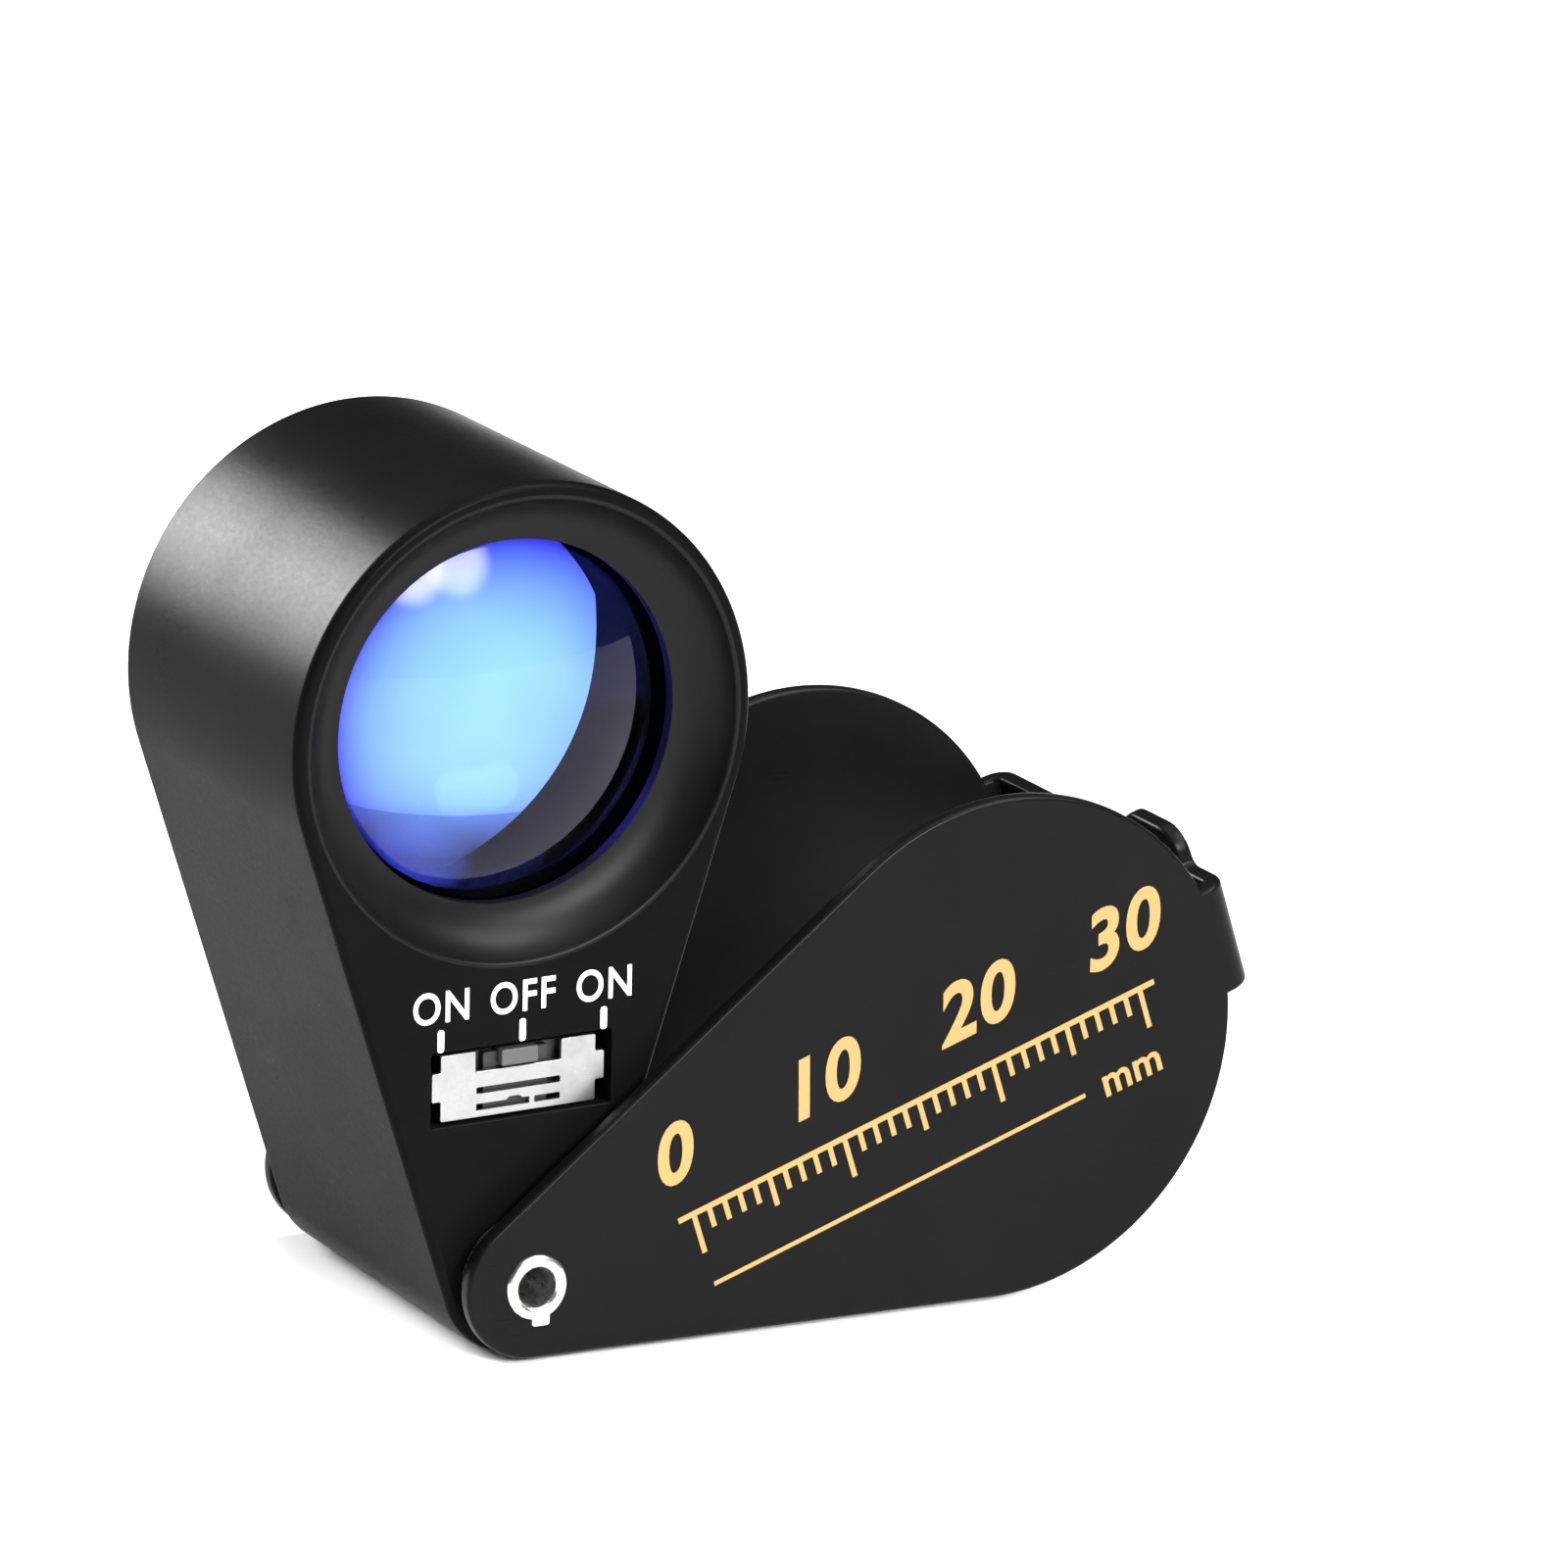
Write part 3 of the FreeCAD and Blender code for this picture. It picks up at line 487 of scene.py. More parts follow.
def bright_metal(name, tint, roughness, streak, across=(1, 1, 1)):
    """Bright plated metal: fine streaks along one direction and a little tarnish."""
    finish = Finish(name, Metallic=1.0)
    lines = finish.grain(streak, 5.0, 0.65, finish.stretched(across))
    cloud = finish.grain(700, 3.0)
    tarnish = finish.between(cloud, 0.45, 0.75)
    finish.feed("Base Color", finish.blend(tarnish, tint, darkened(tint, 0.82)))
    finish.feed("Roughness", finish.between(lines * 0.6 + cloud * 0.4, 0.3, 0.7,
                                            roughness * 0.75, roughness * 1.3))
    finish.bump(lines, 0.0003 * MM, 0.3)
    return finish.material


def moulded_plastic(name, shade, roughness=0.5, dark_from=None):
    """Moulded plastic with the mould's faint spark-eroded grain, and painted shade behind a given depth."""
    finish = Finish(name)
    pebble = finish.grain(5000, 2.0)
    cloud = finish.grain(300, 3.0)
    colour = finish.blend(cloud, darkened(shade, 0.8), shade)
    if dark_from is not None:
        # Painted shade: behind dark_from the plastic is coloured darker, where the carriage sits in shadow
        # behind the face.
        depth = finish.node("SeparateXYZ", {}, {0: finish.place()}, output="Y")
        painted_shade = finish.between(depth, dark_from - 0.1 * MM, dark_from)
        colour = finish.blend(painted_shade, colour, RECESS_SHADE)
    finish.feed("Base Color", colour)
    finish.feed("Roughness", finish.between(cloud, 0.3, 0.7, roughness - 0.06, roughness + 0.08))
    finish.bump(pebble, 0.006 * MM, 0.5)
    return finish.material


def coated_glass(name):
    """Polished glass with a blue coating; its colour is painted deeper blue towards the rim as painted shade
    and reflection at the lens's edge.
    """
    finish = Finish(name, Transmission_Weight=1.0, IOR=1.52, Roughness=0.0, Specular_IOR_Level=0.08,
                    Specular_Tint=(0.26, 0.25, 0.38, 1))
    # Painted shade and reflection: the glass's colour turns deep violet-blue towards the rim.
    share = finish.between(finish.from_optical_axis(), 3.5 * MM, 10.0 * MM)
    cloud = finish.grain(140, 1.0)
    tint = finish.blend(finish.between(cloud, 0.35, 0.65), (0.15, 0.32, 1.0, 1), (0.19, 0.38, 1.0, 1))
    finish.feed("Base Color", finish.blend(share ** 1.5, tint, (0.012, 0.006, 0.4, 1)))
    return finish.material


def clear_plastic(name):
    """Clear moulded plastic with a faint haze."""
    finish = Finish(name, Transmission_Weight=1.0, IOR=1.49)
    cloud = finish.grain(500, 3.0)
    finish.feed("Base Color", finish.blend(cloud, (0.90, 0.93, 0.95, 1), (0.97, 0.98, 1.0, 1)))
    finish.feed("Roughness", finish.between(cloud, 0.3, 0.7, 0.12, 0.22))
    return finish.material


def printed_ink(name, shade, worn):
    """Screen-printed ink, a little uneven, thinner in places."""
    finish = Finish(name)
    patch = finish.grain(1500, 4.0)
    finish.feed("Base Color", finish.blend(finish.between(patch, 0.45, 0.8), shade, worn))
    finish.feed("Roughness", finish.between(patch, 0.3, 0.7, 0.4, 0.6))
    finish.bump(patch, 0.004 * MM, 0.4)
    return finish.material


def circuit_laminate(name):
    """Green board lacquer with lighter tracks, over woven glass."""
    finish = Finish(name)
    weave = finish.grain(4000, 2.0, 0.5, finish.stretched((1, 1, 3)))
    tracks = finish.node("TexBrick", {}, {"Vector": finish.stretched((900, 900, 900)), "Scale": 1.0,
                                          "Color1": (0.02, 0.16, 0.06, 1), "Color2": (0.02, 0.12, 0.05, 1),
                                          "Mortar": (0.05, 0.26, 0.10, 1)})
    finish.feed("Base Color", tracks)
    finish.feed("Roughness", finish.between(weave, 0.3, 0.7, 0.3, 0.45))
    finish.bump(weave, 0.01 * MM, 0.4)
    return finish.material


def glowless_chip(name, resin, edge):
    """Unlit light chip: cloudy resin in a pale case."""
    finish = Finish(name, Coat_Weight=0.5)
    cloud = finish.grain(2500, 3.0)
    finish.feed("Base Color", finish.blend(finish.between(cloud, 0.4, 0.6), resin, edge))
    finish.feed("Roughness", finish.between(cloud, 0.3, 0.7, 0.25, 0.4))
    return finish.material


SHELL_BLACK = satin_anodised("satin black anodising", grey(0.0024), 0.32)
LACQUER = black_lacquer("black lacquer")
TURNED_BLACK = turned_black("turned black anodising", 0.09, 0.38)
LIGHT_TRAP = turned_black("matt black inside the tube", 0.0, 0.75)
NICKEL = bright_metal("bright nickel plate", (0.78, 0.77, 0.75, 1), 0.28, 3000)
TINPLATE = bright_metal("bright tinned sheet", (0.30, 0.30, 0.297, 1), 0.30, 2500, (1, 4, 12))
SCREW_STEEL = bright_metal("plain bright steel", (0.72, 0.72, 0.73, 1), 0.3, 3000)
BRASS = bright_metal("turned brass", (0.85, 0.64, 0.33, 1), 0.3, 3000, (1, 12, 1))
LENS_GLASS = coated_glass("blue-coated glass")
CLEAR = clear_plastic("clear moulded plastic")
KNOB_GREY = moulded_plastic("dark grey knob plastic", (0.045, 0.045, 0.047, 1), 0.55,
                            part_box("switch_slider")[1].y - CARRIAGE_DEPTH)
INNER_BLACK = moulded_plastic("black moulded plastic", (0.02, 0.02, 0.02, 1))
LAMINATE = circuit_laminate("green circuit laminate")
WHITE_INK = printed_ink("white legend ink", (0.62, 0.62, 0.61, 1), (0.52, 0.52, 0.51, 1))
GOLD_INK = printed_ink("gold print", (0.28, 0.165, 0.042, 1), (0.23, 0.15, 0.065, 1))
WHITE_CHIP = glowless_chip("phosphor chip", (0.85, 0.68, 0.16, 1), (0.9, 0.86, 0.7, 1))
VIOLET_CHIP = glowless_chip("violet chip", (0.42, 0.34, 0.75, 1), (0.8, 0.78, 0.9, 1))
RED_WIRE = moulded_plastic("red wire insulation", (0.5, 0.05, 0.04, 1), 0.35)


# ------------------------------------------------------------------ barrel shell
SHELL_ROUND = 0.55 * MM
SHELL_WALL = 1.1 * MM
FRONT_WALL = 1.5 * MM
WINDOW_LIP = 0.06 * MM
WINDOW_CORNER = 0.2 * MM

# How far a cutter runs past the face that it opens, and past one that it only meets.
OUTSIDE = 1 * MM
OVERLAP = 0.01 * MM

_, bezel_high = box_in(LENS, "eyepiece_bezel")
BEZEL_RADIUS = bezel_high.x
BEZEL_BACK = bezel_high.y
plate_low, plate_high = box_in(BARREL, "rear_plate")
frame_low, frame_high = box_in(BARREL, "switch_frame")
slider_low, slider_high = box_in(BARREL, "switch_slider")
_, bushing_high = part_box("pivot_bushing")

# The switch's window stands a little clear of the frame's side tabs and top.
WINDOW_HALF = frame_high.x + 0.25 * MM
WINDOW_LOW = frame_low.z - 0.15 * MM
WINDOW_HIGH = frame_high.z + 0.3 * MM


def flared_cutter(name, outline, level, depth, flare, place):
    """Cutter whose walls open out in a small round where they meet the face at level."""
    rings = [(level - OUTSIDE, -flare)]
    steps = 3
    for step in range(steps + 1):
        angle = QUARTER_TURN * step / steps
        rings.append((level + flare * math.sin(angle), -flare * (1 - math.sin(angle))))
    rings.append((level + depth, 0.0))
    return stack(name, outline, rings, place)


def make_barrel_shell():
    """Teardrop shell, open behind, with a bore for the eyepiece, the switch's window and a pivot hole."""
    shell = slab("barrel_shell", teardrop(BARREL_NARROW, BARREL_WIDE), BARREL_FRONT, BARREL_REAR, BARREL,
                 SHELL_ROUND, SHELL_ROUND, 8)
    inside = teardrop(BARREL_NARROW - SHELL_WALL, BARREL_WIDE - SHELL_WALL)
    rebate = teardrop(-plate_low.z, plate_high.z - REACH)
    window = rectangle(-WINDOW_HALF, WINDOW_HALF, WINDOW_LOW, WINDOW_HIGH, WINDOW_CORNER)
    return smooth(cut(
        shell,
        slab("inside", inside, BARREL_FRONT + FRONT_WALL, BARREL_REAR + OUTSIDE, BARREL),
        slab("rebate", rebate, plate_low.y, BARREL_REAR + OUTSIDE, BARREL),
        slab("bezel_bore", circle(BEZEL_RADIUS, (0, REACH), 160), BARREL_FRONT - OUTSIDE,
             BARREL_FRONT + FRONT_WALL + OVERLAP, BARREL),
        flared_cutter("window", window, BARREL_FRONT, FRONT_WALL + OUTSIDE, WINDOW_LIP, BARREL),
        slab("bushing_hole", circle(bushing_high.x), BARREL_FRONT - OUTSIDE,
             BARREL_FRONT + FRONT_WALL + OUTSIDE, BARREL),
    ))


finish_piece(make_barrel_shell(), "barrel", SHELL_BLACK, "barrel_anodise", "barrel_housing")


# ------------------------------------------------------------------ eyepiece
APERTURE, _ = radii_in(LENS, "eyepiece_bezel")
DISH_RIM, _ = radii_in(LENS, "eyepiece_bezel", BARREL_FRONT)
DISH_DROP = 2.35 * MM
DISH_CURVE = 3.4 * MM
BROKEN_EDGE = 0.12 * MM


def curve_between(start, finish, radius, turn, steps):
    """Points on the arc of a radius from start to finish, turning left (+1) or right (-1)."""
    first, last = Vector(start), Vector(finish)
    chord = last - first
    across = Vector((-chord.y, chord.x)).normalized()
    centre = (first + last) / 2 + across * turn * math.sqrt(radius ** 2 - (chord.length / 2) ** 2)
    return arc_between(centre, radius, first - centre, last - centre, steps)


def make_bezel():
    """Lip over the lens, hollow dish, and a softly broken rim flush with the shell's face."""
    dish_top = (BARREL_FRONT + BROKEN_EDGE, DISH_RIM - 0.02 * MM)
    dish = curve_between((BARREL_FRONT + DISH_DROP, APERTURE), dish_top, DISH_CURVE, 1, 28)
    rim = curve_between(dish[-1], (BARREL_FRONT, DISH_RIM + BROKEN_EDGE), BROKEN_EDGE * 1.6, -1, 4)[1:]
    back = [(BARREL_FRONT, BEZEL_RADIUS), (BARREL_FRONT + FRONT_WALL, BEZEL_RADIUS),
            (BARREL_FRONT + FRONT_WALL, BARREL_WIDE - SHELL_WALL),
            (BEZEL_BACK, BARREL_WIDE - SHELL_WALL), (BEZEL_BACK, APERTURE)]
    return smooth(turned("eyepiece_bezel_ring", dish + rim + back, LENS, 200), 50)


finish_piece(make_bezel(), "barrel", TURNED_BLACK, "bezel_black", "eyepiece_bezel")


def make_triplet():
    """The three cemented elements as the one block of glass that light meets."""
    front, _ = box_in(LENS, "eye_lens")
    _, back = box_in(LENS, "field_lens")
    _, radius = radii_in(LENS, "eye_lens")
    edge_front = min(point.y for point in corners_in(LENS, "eye_lens")
                     if math.hypot(point.x, point.z) > radius - SAME_PLACE)
    sag = edge_front - front.y
    curve = (radius ** 2 + sag ** 2) / (2 * sag)
    steps = 40
    dome = []
    for step in range(steps + 1):
        out = radius * math.sin(QUARTER_TURN * step / steps)
        dome.append((curve - math.sqrt(curve ** 2 - out ** 2), out))
    section = [(front.y + drop, out) for drop, out in dome]
    section += [(back.y - drop, out) for drop, out in reversed(dome)]
    return smooth(turned("cemented_triplet", section, LENS, 200), 30)


finish_piece(make_triplet(), "barrel", LENS_GLASS, "lens_glass", "eye_lens", "crown_lens", "field_lens")


def make_lens_tube():
    """Plain turned tube round the glass, with broken edges."""
    low, high = box_in(LENS, "lens_tube")
    inner, outer = radii_in(LENS, "lens_tube")
    section = rounded([(low.y, inner), (high.y, inner), (high.y, outer), (low.y, outer)], BROKEN_EDGE, 3)
    return smooth(turned("lens_tube_ring", section, LENS))


finish_piece(make_lens_tube(), "barrel", LIGHT_TRAP, "bezel_black", "lens_tube")


def make_retainer():
    """Screwed ring behind the lens, its bore cut with glare threads that face the eye."""
    low, high = box_in(LENS, "lens_retainer")
    bore, outer = radii_in(LENS, "lens_retainer")
    threads = 8
    thread_depth = 0.4 * MM
    slope_share = 0.96
    pitch = (high.y - low.y) / threads
    section = []
    for thread in range(threads):
        section += [(low.y + thread * pitch, bore),
                    (low.y + (thread + slope_share) * pitch, bore + thread_depth)]
    section += [(high.y, bore), (high.y, outer), (low.y, outer)]
    return smooth(turned("lens_retainer_ring", section, LENS), 20)


finish_piece(make_retainer(), "barrel", LIGHT_TRAP, "bezel_black", "lens_retainer")


# ------------------------------------------------------------------ folding cover
SHEET_ROUND = 0.28 * MM
BEND_INSIDE = 0.45 * MM
BEND_MIDDLE = BEND_INSIDE + COVER_SHEET / 2
BEND_RUN = QUARTER_TURN * BEND_MIDDLE
BEND_START = WEB_OUTSIDE - BEND_INSIDE - COVER_SHEET

# The web: a neck from each bend, and between the necks a wider tab that slopes off to the rear.
NECK_HALF = 3.3 * MM
WEB_TAB_HALF = 5.6 * MM
FRONT_NECK = 3.7 * MM
REAR_NECK = 13.5 * MM
WEB_TAB_SLOPE = 3.5 * MM
WEB_TAB_ROUND = 1.8 * MM
NECK_ROUND = 0.45 * MM


def blank_outline(run):
    """Right-hand half of the flat blank, from the front plate's tip to the rear plate's.

    Points are (distance along the strip, half width); run is the strip's flat length between the
    centres of the plates' wide arcs.
    """
    neck_angle = math.asin(NECK_HALF / COVER_WIDE)
    tip = arc((0, 0), COVER_NARROW, math.pi, math.pi + QUARTER_TURN - COVER_RISE, 24)
    wide = arc((REACH, 0), COVER_WIDE, -QUARTER_TURN - COVER_RISE, -neck_angle, 72)
    front_plate = [(along, -across) for along, across in tip + wide]
    end = REACH + run + REACH
    rear_plate = [(end - along, across) for along, across in reversed(front_plate)]
    root = front_plate[-1][0]
    flat = BEND_START + BEND_RUN - (BEND_INSIDE + COVER_SHEET)
    tab_front = flat + FRONT_NECK
    tab_rear = end - flat - REAR_NECK
    corners = [(root, NECK_HALF), (tab_front, NECK_HALF), (tab_front, WEB_TAB_HALF),
               (tab_rear - WEB_TAB_SLOPE, WEB_TAB_HALF), (tab_rear, NECK_HALF), (end - root, NECK_HALF)]
    web = []
    for number, radius in enumerate((NECK_ROUND, WEB_TAB_ROUND, WEB_TAB_ROUND, NECK_ROUND), start=1):
        web += soft_corner(corners[number - 1], corners[number], corners[number + 1], radius, 6)
    return front_plate + web + rear_plate, end


def with_stations(half, stations):
    """Add points at given distances along the strip, so that the sheet has creases to bend on."""
    points = [half[0]]
    for point in half[1:]:
        before = points[-1]
        for station in stations:
            if before[0] + SAME_STATION < station < point[0] - SAME_STATION:
                share = (station - before[0]) / (point[0] - before[0])
                points.append((station, before[1] + (point[1] - before[1]) * share))
        points.append(point)
    return points


def make_cover():
    """The flat blank, its edges rounded over, folded into a U round the barrel."""
    middle = COVER_SHEET / 2
    half_depth = -COVER_FRONT - middle
    web_length = 2 * (half_depth - BEND_MIDDLE)
    run = 2 * (BEND_START - REACH) + 2 * BEND_RUN + web_length
    half, end = blank_outline(run)
    creases = 8
    stations = [BEND_START + BEND_RUN * crease / creases for crease in range(creases + 1)]
    stations += [end - station for station in reversed(stations)]
    half = with_stations(half, stations)
    outline = [(along, -across) for along, across in half]
    outline += [(along, across) for along, across in reversed(half[1:-1])]
    levels = list(reversed(quarter_round(-middle, -1, SHEET_ROUND, 5)))
    levels += quarter_round(middle, 1, SHEET_ROUND, 5)

    def folded(along, across, out):
        """A point of the flat blank, out from the sheet's middle, carried to its folded place."""
        mirrored = along > end / 2
        if mirrored:
            along = end - along
        if along <= BEND_START:
            x, y = along, -half_depth - out
        elif along <= BEND_START + BEND_RUN:
            angle = (along - BEND_START) / BEND_MIDDLE
            x = BEND_START + (BEND_MIDDLE + out) * math.sin(angle)
            y = -half_depth + BEND_MIDDLE - (BEND_MIDDLE + out) * math.cos(angle)
        else:
            x = BEND_START + BEND_MIDDLE + out
            y = -half_depth + BEND_MIDDLE + (along - BEND_START - BEND_RUN)
        return (x, -y if mirrored else y, across)

    count = len(outline)
    vertices = []
    for out, inset in levels:
        vertices += [folded(along, across, out) for along, across in moved_in(outline, inset)]
    faces = walls(len(levels), count)
    last = len(half) - 1
    for base in (0, (len(levels) - 1) * count):
        faces.append((base, base + 1, base + count - 1))
        for step in range(1, last - 1):
            faces.append((base + step, base + step + 1, base + count - step - 1, base + count - step))
        faces.append((base + last - 1, base + last, base + last + 1))
    cover = new_piece("bent_cover", vertices, faces, COVER)
    hole = slab("pivot_hole", circle(RIVET_SHANK + 0.05 * MM, steps=64), COVER_FRONT - OUTSIDE,
                -COVER_FRONT + OUTSIDE, HERE)
    return smooth(cut(cover, hole), 30)


# ------------------------------------------------------------------ pivot
rivet_low, rivet_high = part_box("pivot_rivet")
RIVET_FLANGE = rivet_high.x
RIVET_BORE, _ = radii_in(HERE, "pivot_rivet")
washer_bore, _ = radii_in(HERE, "front_washer")
RIVET_SHANK = washer_bore - 0.05 * MM

# The share of the rivet's standing height that the rolled lip takes up, how uneven the lip is, and how
# far from the bore the unevenness starts.
LIP_SHARE = 0.9
LIP_UNEVEN = 0.016
EVEN_WIDTH = 0.2 * MM

# The tongue that a split leaves below the front lip: its left and right side, its foot and its root.
TONGUE = (-0.25 * MM, 0.85 * MM, -2.25 * MM, -1.5 * MM)
TONGUE_CORNER = 0.2 * MM
TONGUE_EDGE = 0.08 * MM


def make_rivet():
    """Tube rolled over at both ends into slightly uneven lips."""
    proud = COVER_FRONT - rivet_low.y
    half_width = (RIVET_FLANGE - RIVET_BORE) / 2
    lip = []
    steps = 10
    for step in range(steps + 1):
        angle = math.pi * step / steps
        lip.append((rivet_low.y + proud * (1 - math.sin(angle)) * LIP_SHARE,
                    RIVET_BORE + half_width * (1 - math.cos(angle))))
    section = lip + [(COVER_FRONT, RIVET_FLANGE), (COVER_FRONT, RIVET_SHANK)]
    section += [(-depth, radius) for depth, radius in reversed(section)]
    rivet = turned("rolled_rivet", section, HERE, 96)
    for vertex in rivet.data.vertices:
        radius = math.hypot(vertex.co.x, vertex.co.z)
        if abs(vertex.co.y) < -COVER_FRONT or radius < RIVET_BORE + EVEN_WIDTH:
            continue
        angle = math.atan2(vertex.co.z, vertex.co.x)
        wave = 0.5 * math.sin(2 * angle + 0.6) + 0.3 * math.sin(5 * angle + 2.0) + 0.2 * math.sin(8 * angle)
        scale = 1 - LIP_UNEVEN * (1 + wave) * (radius - RIVET_BORE) / (RIVET_FLANGE - RIVET_BORE)
        vertex.co.x *= scale
        vertex.co.z *= scale
    tongue = slab("split_tongue", rectangle(*TONGUE, TONGUE_CORNER), rivet_low.y + TONGUE_EDGE, COVER_FRONT,
                  HERE, TONGUE_EDGE)
    return smooth(join(rivet, tongue), 50)


finish_piece(make_cover(), "cover", LACQUER, "cover_lacquer", "folding_cover")
finish_piece(make_rivet(), "cover", NICKEL, "bright_plate", "pivot_rivet")


# ------------------------------------------------------------------ slide switch
SHEET_EDGE = 0.05 * MM
FACE_SHEET = 0.3 * MM
NOTCH_HALF = 2.65 * MM
NOTCH_LOW = frame_low.z + 2.65 * MM
SIDE_TAB_LOW = frame_low.z + 1.19 * MM
SIDE_TAB_HIGH = frame_low.z + 2.85 * MM
FACE_HALF = frame_high.x - 0.55 * MM
FACE_CORNER = 0.11 * MM
UPPER_SLOT = frame_low.z + 1.55 * MM
LOWER_SLOT = frame_low.z + 0.6 * MM
SLOT_REACH = 2.6 * MM
SLIT = 0.19 * MM


def make_switch_face():
    """Stamped face of the switch: ears, side tabs, a notch and two spring slots."""
    half, low, high = FACE_HALF, frame_low.z, frame_high.z
    right = [(half, low), (half, SIDE_TAB_LOW), (frame_high.x, SIDE_TAB_LOW), (frame_high.x, SIDE_TAB_HIGH),
             (half, SIDE_TAB_HIGH), (half, high), (NOTCH_HALF, high), (NOTCH_HALF, NOTCH_LOW)]
    corners = right + [(-across, up) for across, up in reversed(right)]
    face = slab("switch_face", rounded(corners, FACE_CORNER, 4), frame_low.y, frame_low.y + FACE_SHEET,
                BARREL, SHEET_EDGE, SHEET_EDGE, 3)
    hump = [(0.3 * MM, LOWER_SLOT + SLIT), (0.05 * MM, LOWER_SLOT + 1.9 * SLIT),
            (-0.55 * MM, LOWER_SLOT + 1.9 * SLIT), (-0.75 * MM, LOWER_SLOT + SLIT)]
    sprung = [(-SLOT_REACH, LOWER_SLOT - SLIT), (0.7 * MM, LOWER_SLOT - SLIT), (0.7 * MM, LOWER_SLOT + SLIT)]
    sprung += hump + [(-SLOT_REACH, LOWER_SLOT + SLIT)]
    for slot in (rectangle(-SLOT_REACH, SLOT_REACH, UPPER_SLOT - SLIT, UPPER_SLOT + SLIT, 0.1 * MM),
                 sprung,
                 rectangle(1.0 * MM, SLOT_REACH, LOWER_SLOT - SLIT, LOWER_SLOT + SLIT, 0.1 * MM)):
        cut(face, slab("slot", slot, frame_low.y - OUTSIDE, frame_low.y + OUTSIDE, BARREL))
    for side in (-1, 1):
        inner, outer = sorted((side * (half - 0.02 * MM), side * (half - FACE_SHEET)))
        join(face, slab("skirt", rectangle(inner, outer, low + 0.03 * MM, high - 0.03 * MM),
                        frame_low.y + FACE_SHEET / 2, frame_high.y, BARREL))
    return smooth(face)


finish_piece(make_switch_face(), "barrel", TINPLATE, "switch_steel", "switch_frame")


def make_slider():
    """Carriage behind the face, and the knob in the notch."""
    knob_half = 1.15 * MM
    knob_low = frame_low.z + 2.8 * MM
    knob_high = frame_low.z + 3.75 * MM
    carriage_top = frame_low.z + 3.55 * MM
    flat = rectangle(slider_low.x, slider_high.x, slider_low.z, carriage_top, 0.15 * MM)
    carriage = slab("switch_knob", flat, slider_high.y - CARRIAGE_DEPTH, slider_high.y,
                    BARREL, SHEET_EDGE, SHEET_EDGE, 3)
    knob = slab("knob", rectangle(-knob_half, knob_half, knob_low, knob_high, 0.16 * MM), slider_low.y,
                slider_high.y - 0.2 * MM, BARREL, 0.1 * MM, 0, 4)
    return smooth(join(carriage, knob))


finish_piece(make_slider(), "slider", KNOB_GREY, "knob_plastic", "switch_slider")


# ------------------------------------------------------------------ printing
INK = 0.02 * MM
LEGEND_HEIGHT = 1.85 * MM
NUMERAL_HEIGHT = 3.45 * MM
UNIT_HEIGHT = 1.9 * MM
RULE_LENGTH = 30

# Height of the built-in letters' capitals at size 1.
CAPITAL = 0.73


def lettering(words, cap_height, middle, baseline, depth, place, italic=0.0, bold=0.0, spacing=1.0,
              squeeze=1.0):
    """Raised ink letters on a face that looks towards -Y, centred across and standing on a baseline."""
    text = bpy.data.curves.new(words, "FONT")
    text.body = words
    text.size = cap_height / CAPITAL
    text.shear = italic
    text.offset = bold
    text.space_character = spacing
    text.extrude = INK / 2
    text.resolution_u = 6
    holder = in_scene(words, text)
    mesh = as_made(holder)
    bpy.data.objects.remove(holder)
    weld(mesh, SAME_INK_POINT)
    mesh.transform(Matrix.Diagonal((squeeze, 1, 1, 1)))
    left = min(vertex.co.x for vertex in mesh.vertices)
    right = max(vertex.co.x for vertex in mesh.vertices)
    mesh.transform(Matrix.Translation((middle - (left + right) / 2, 0, 0)))
    mesh.transform(place @ Matrix.Translation((0, depth, baseline)) @ Matrix.Rotation(QUARTER_TURN, 4, "X"))
    return in_scene(words, mesh)


def bar(outline, face, place, thickness=INK):
    """Raised bar of ink on a face, sunk a little into it."""
    return slab("bar", outline, face - thickness, face + INK / 2, place)


def merged(name, pieces):
    """Several pieces of print as one."""
    work = bmesh.new()
    for piece in pieces:
        work.from_mesh(piece.data)
        bpy.data.objects.remove(piece)
    mesh = bpy.data.meshes.new(name)
    work.to_mesh(mesh)
    work.free()
    return in_scene(name, mesh)


def make_legend():
    """A tick for each place of the knob, and a plain on, off, on legend above them."""
    pitch = WINDOW_HALF * 0.9
    tick_half = 0.2 * MM
    marks = []
    for number, words in ((-1, "ON"), (0, "OFF"), (1, "ON")):
        across = number * pitch
        tick = rectangle(across - tick_half, across + tick_half, WINDOW_HIGH + 0.05 * MM,
                         WINDOW_HIGH + 1.35 * MM, 0.17 * MM)
        marks.append(bar(tick, BARREL_FRONT, BARREL))
        marks.append(lettering(words, LEGEND_HEIGHT, across, WINDOW_HIGH + 1.8 * MM,
                               BARREL_FRONT - INK / 2, BARREL, bold=0.035 * MM, spacing=1.12, squeeze=0.86))
    return merged("switch_legend", marks)


finish_piece(make_legend(), "barrel", WHITE_INK, "chip_white")


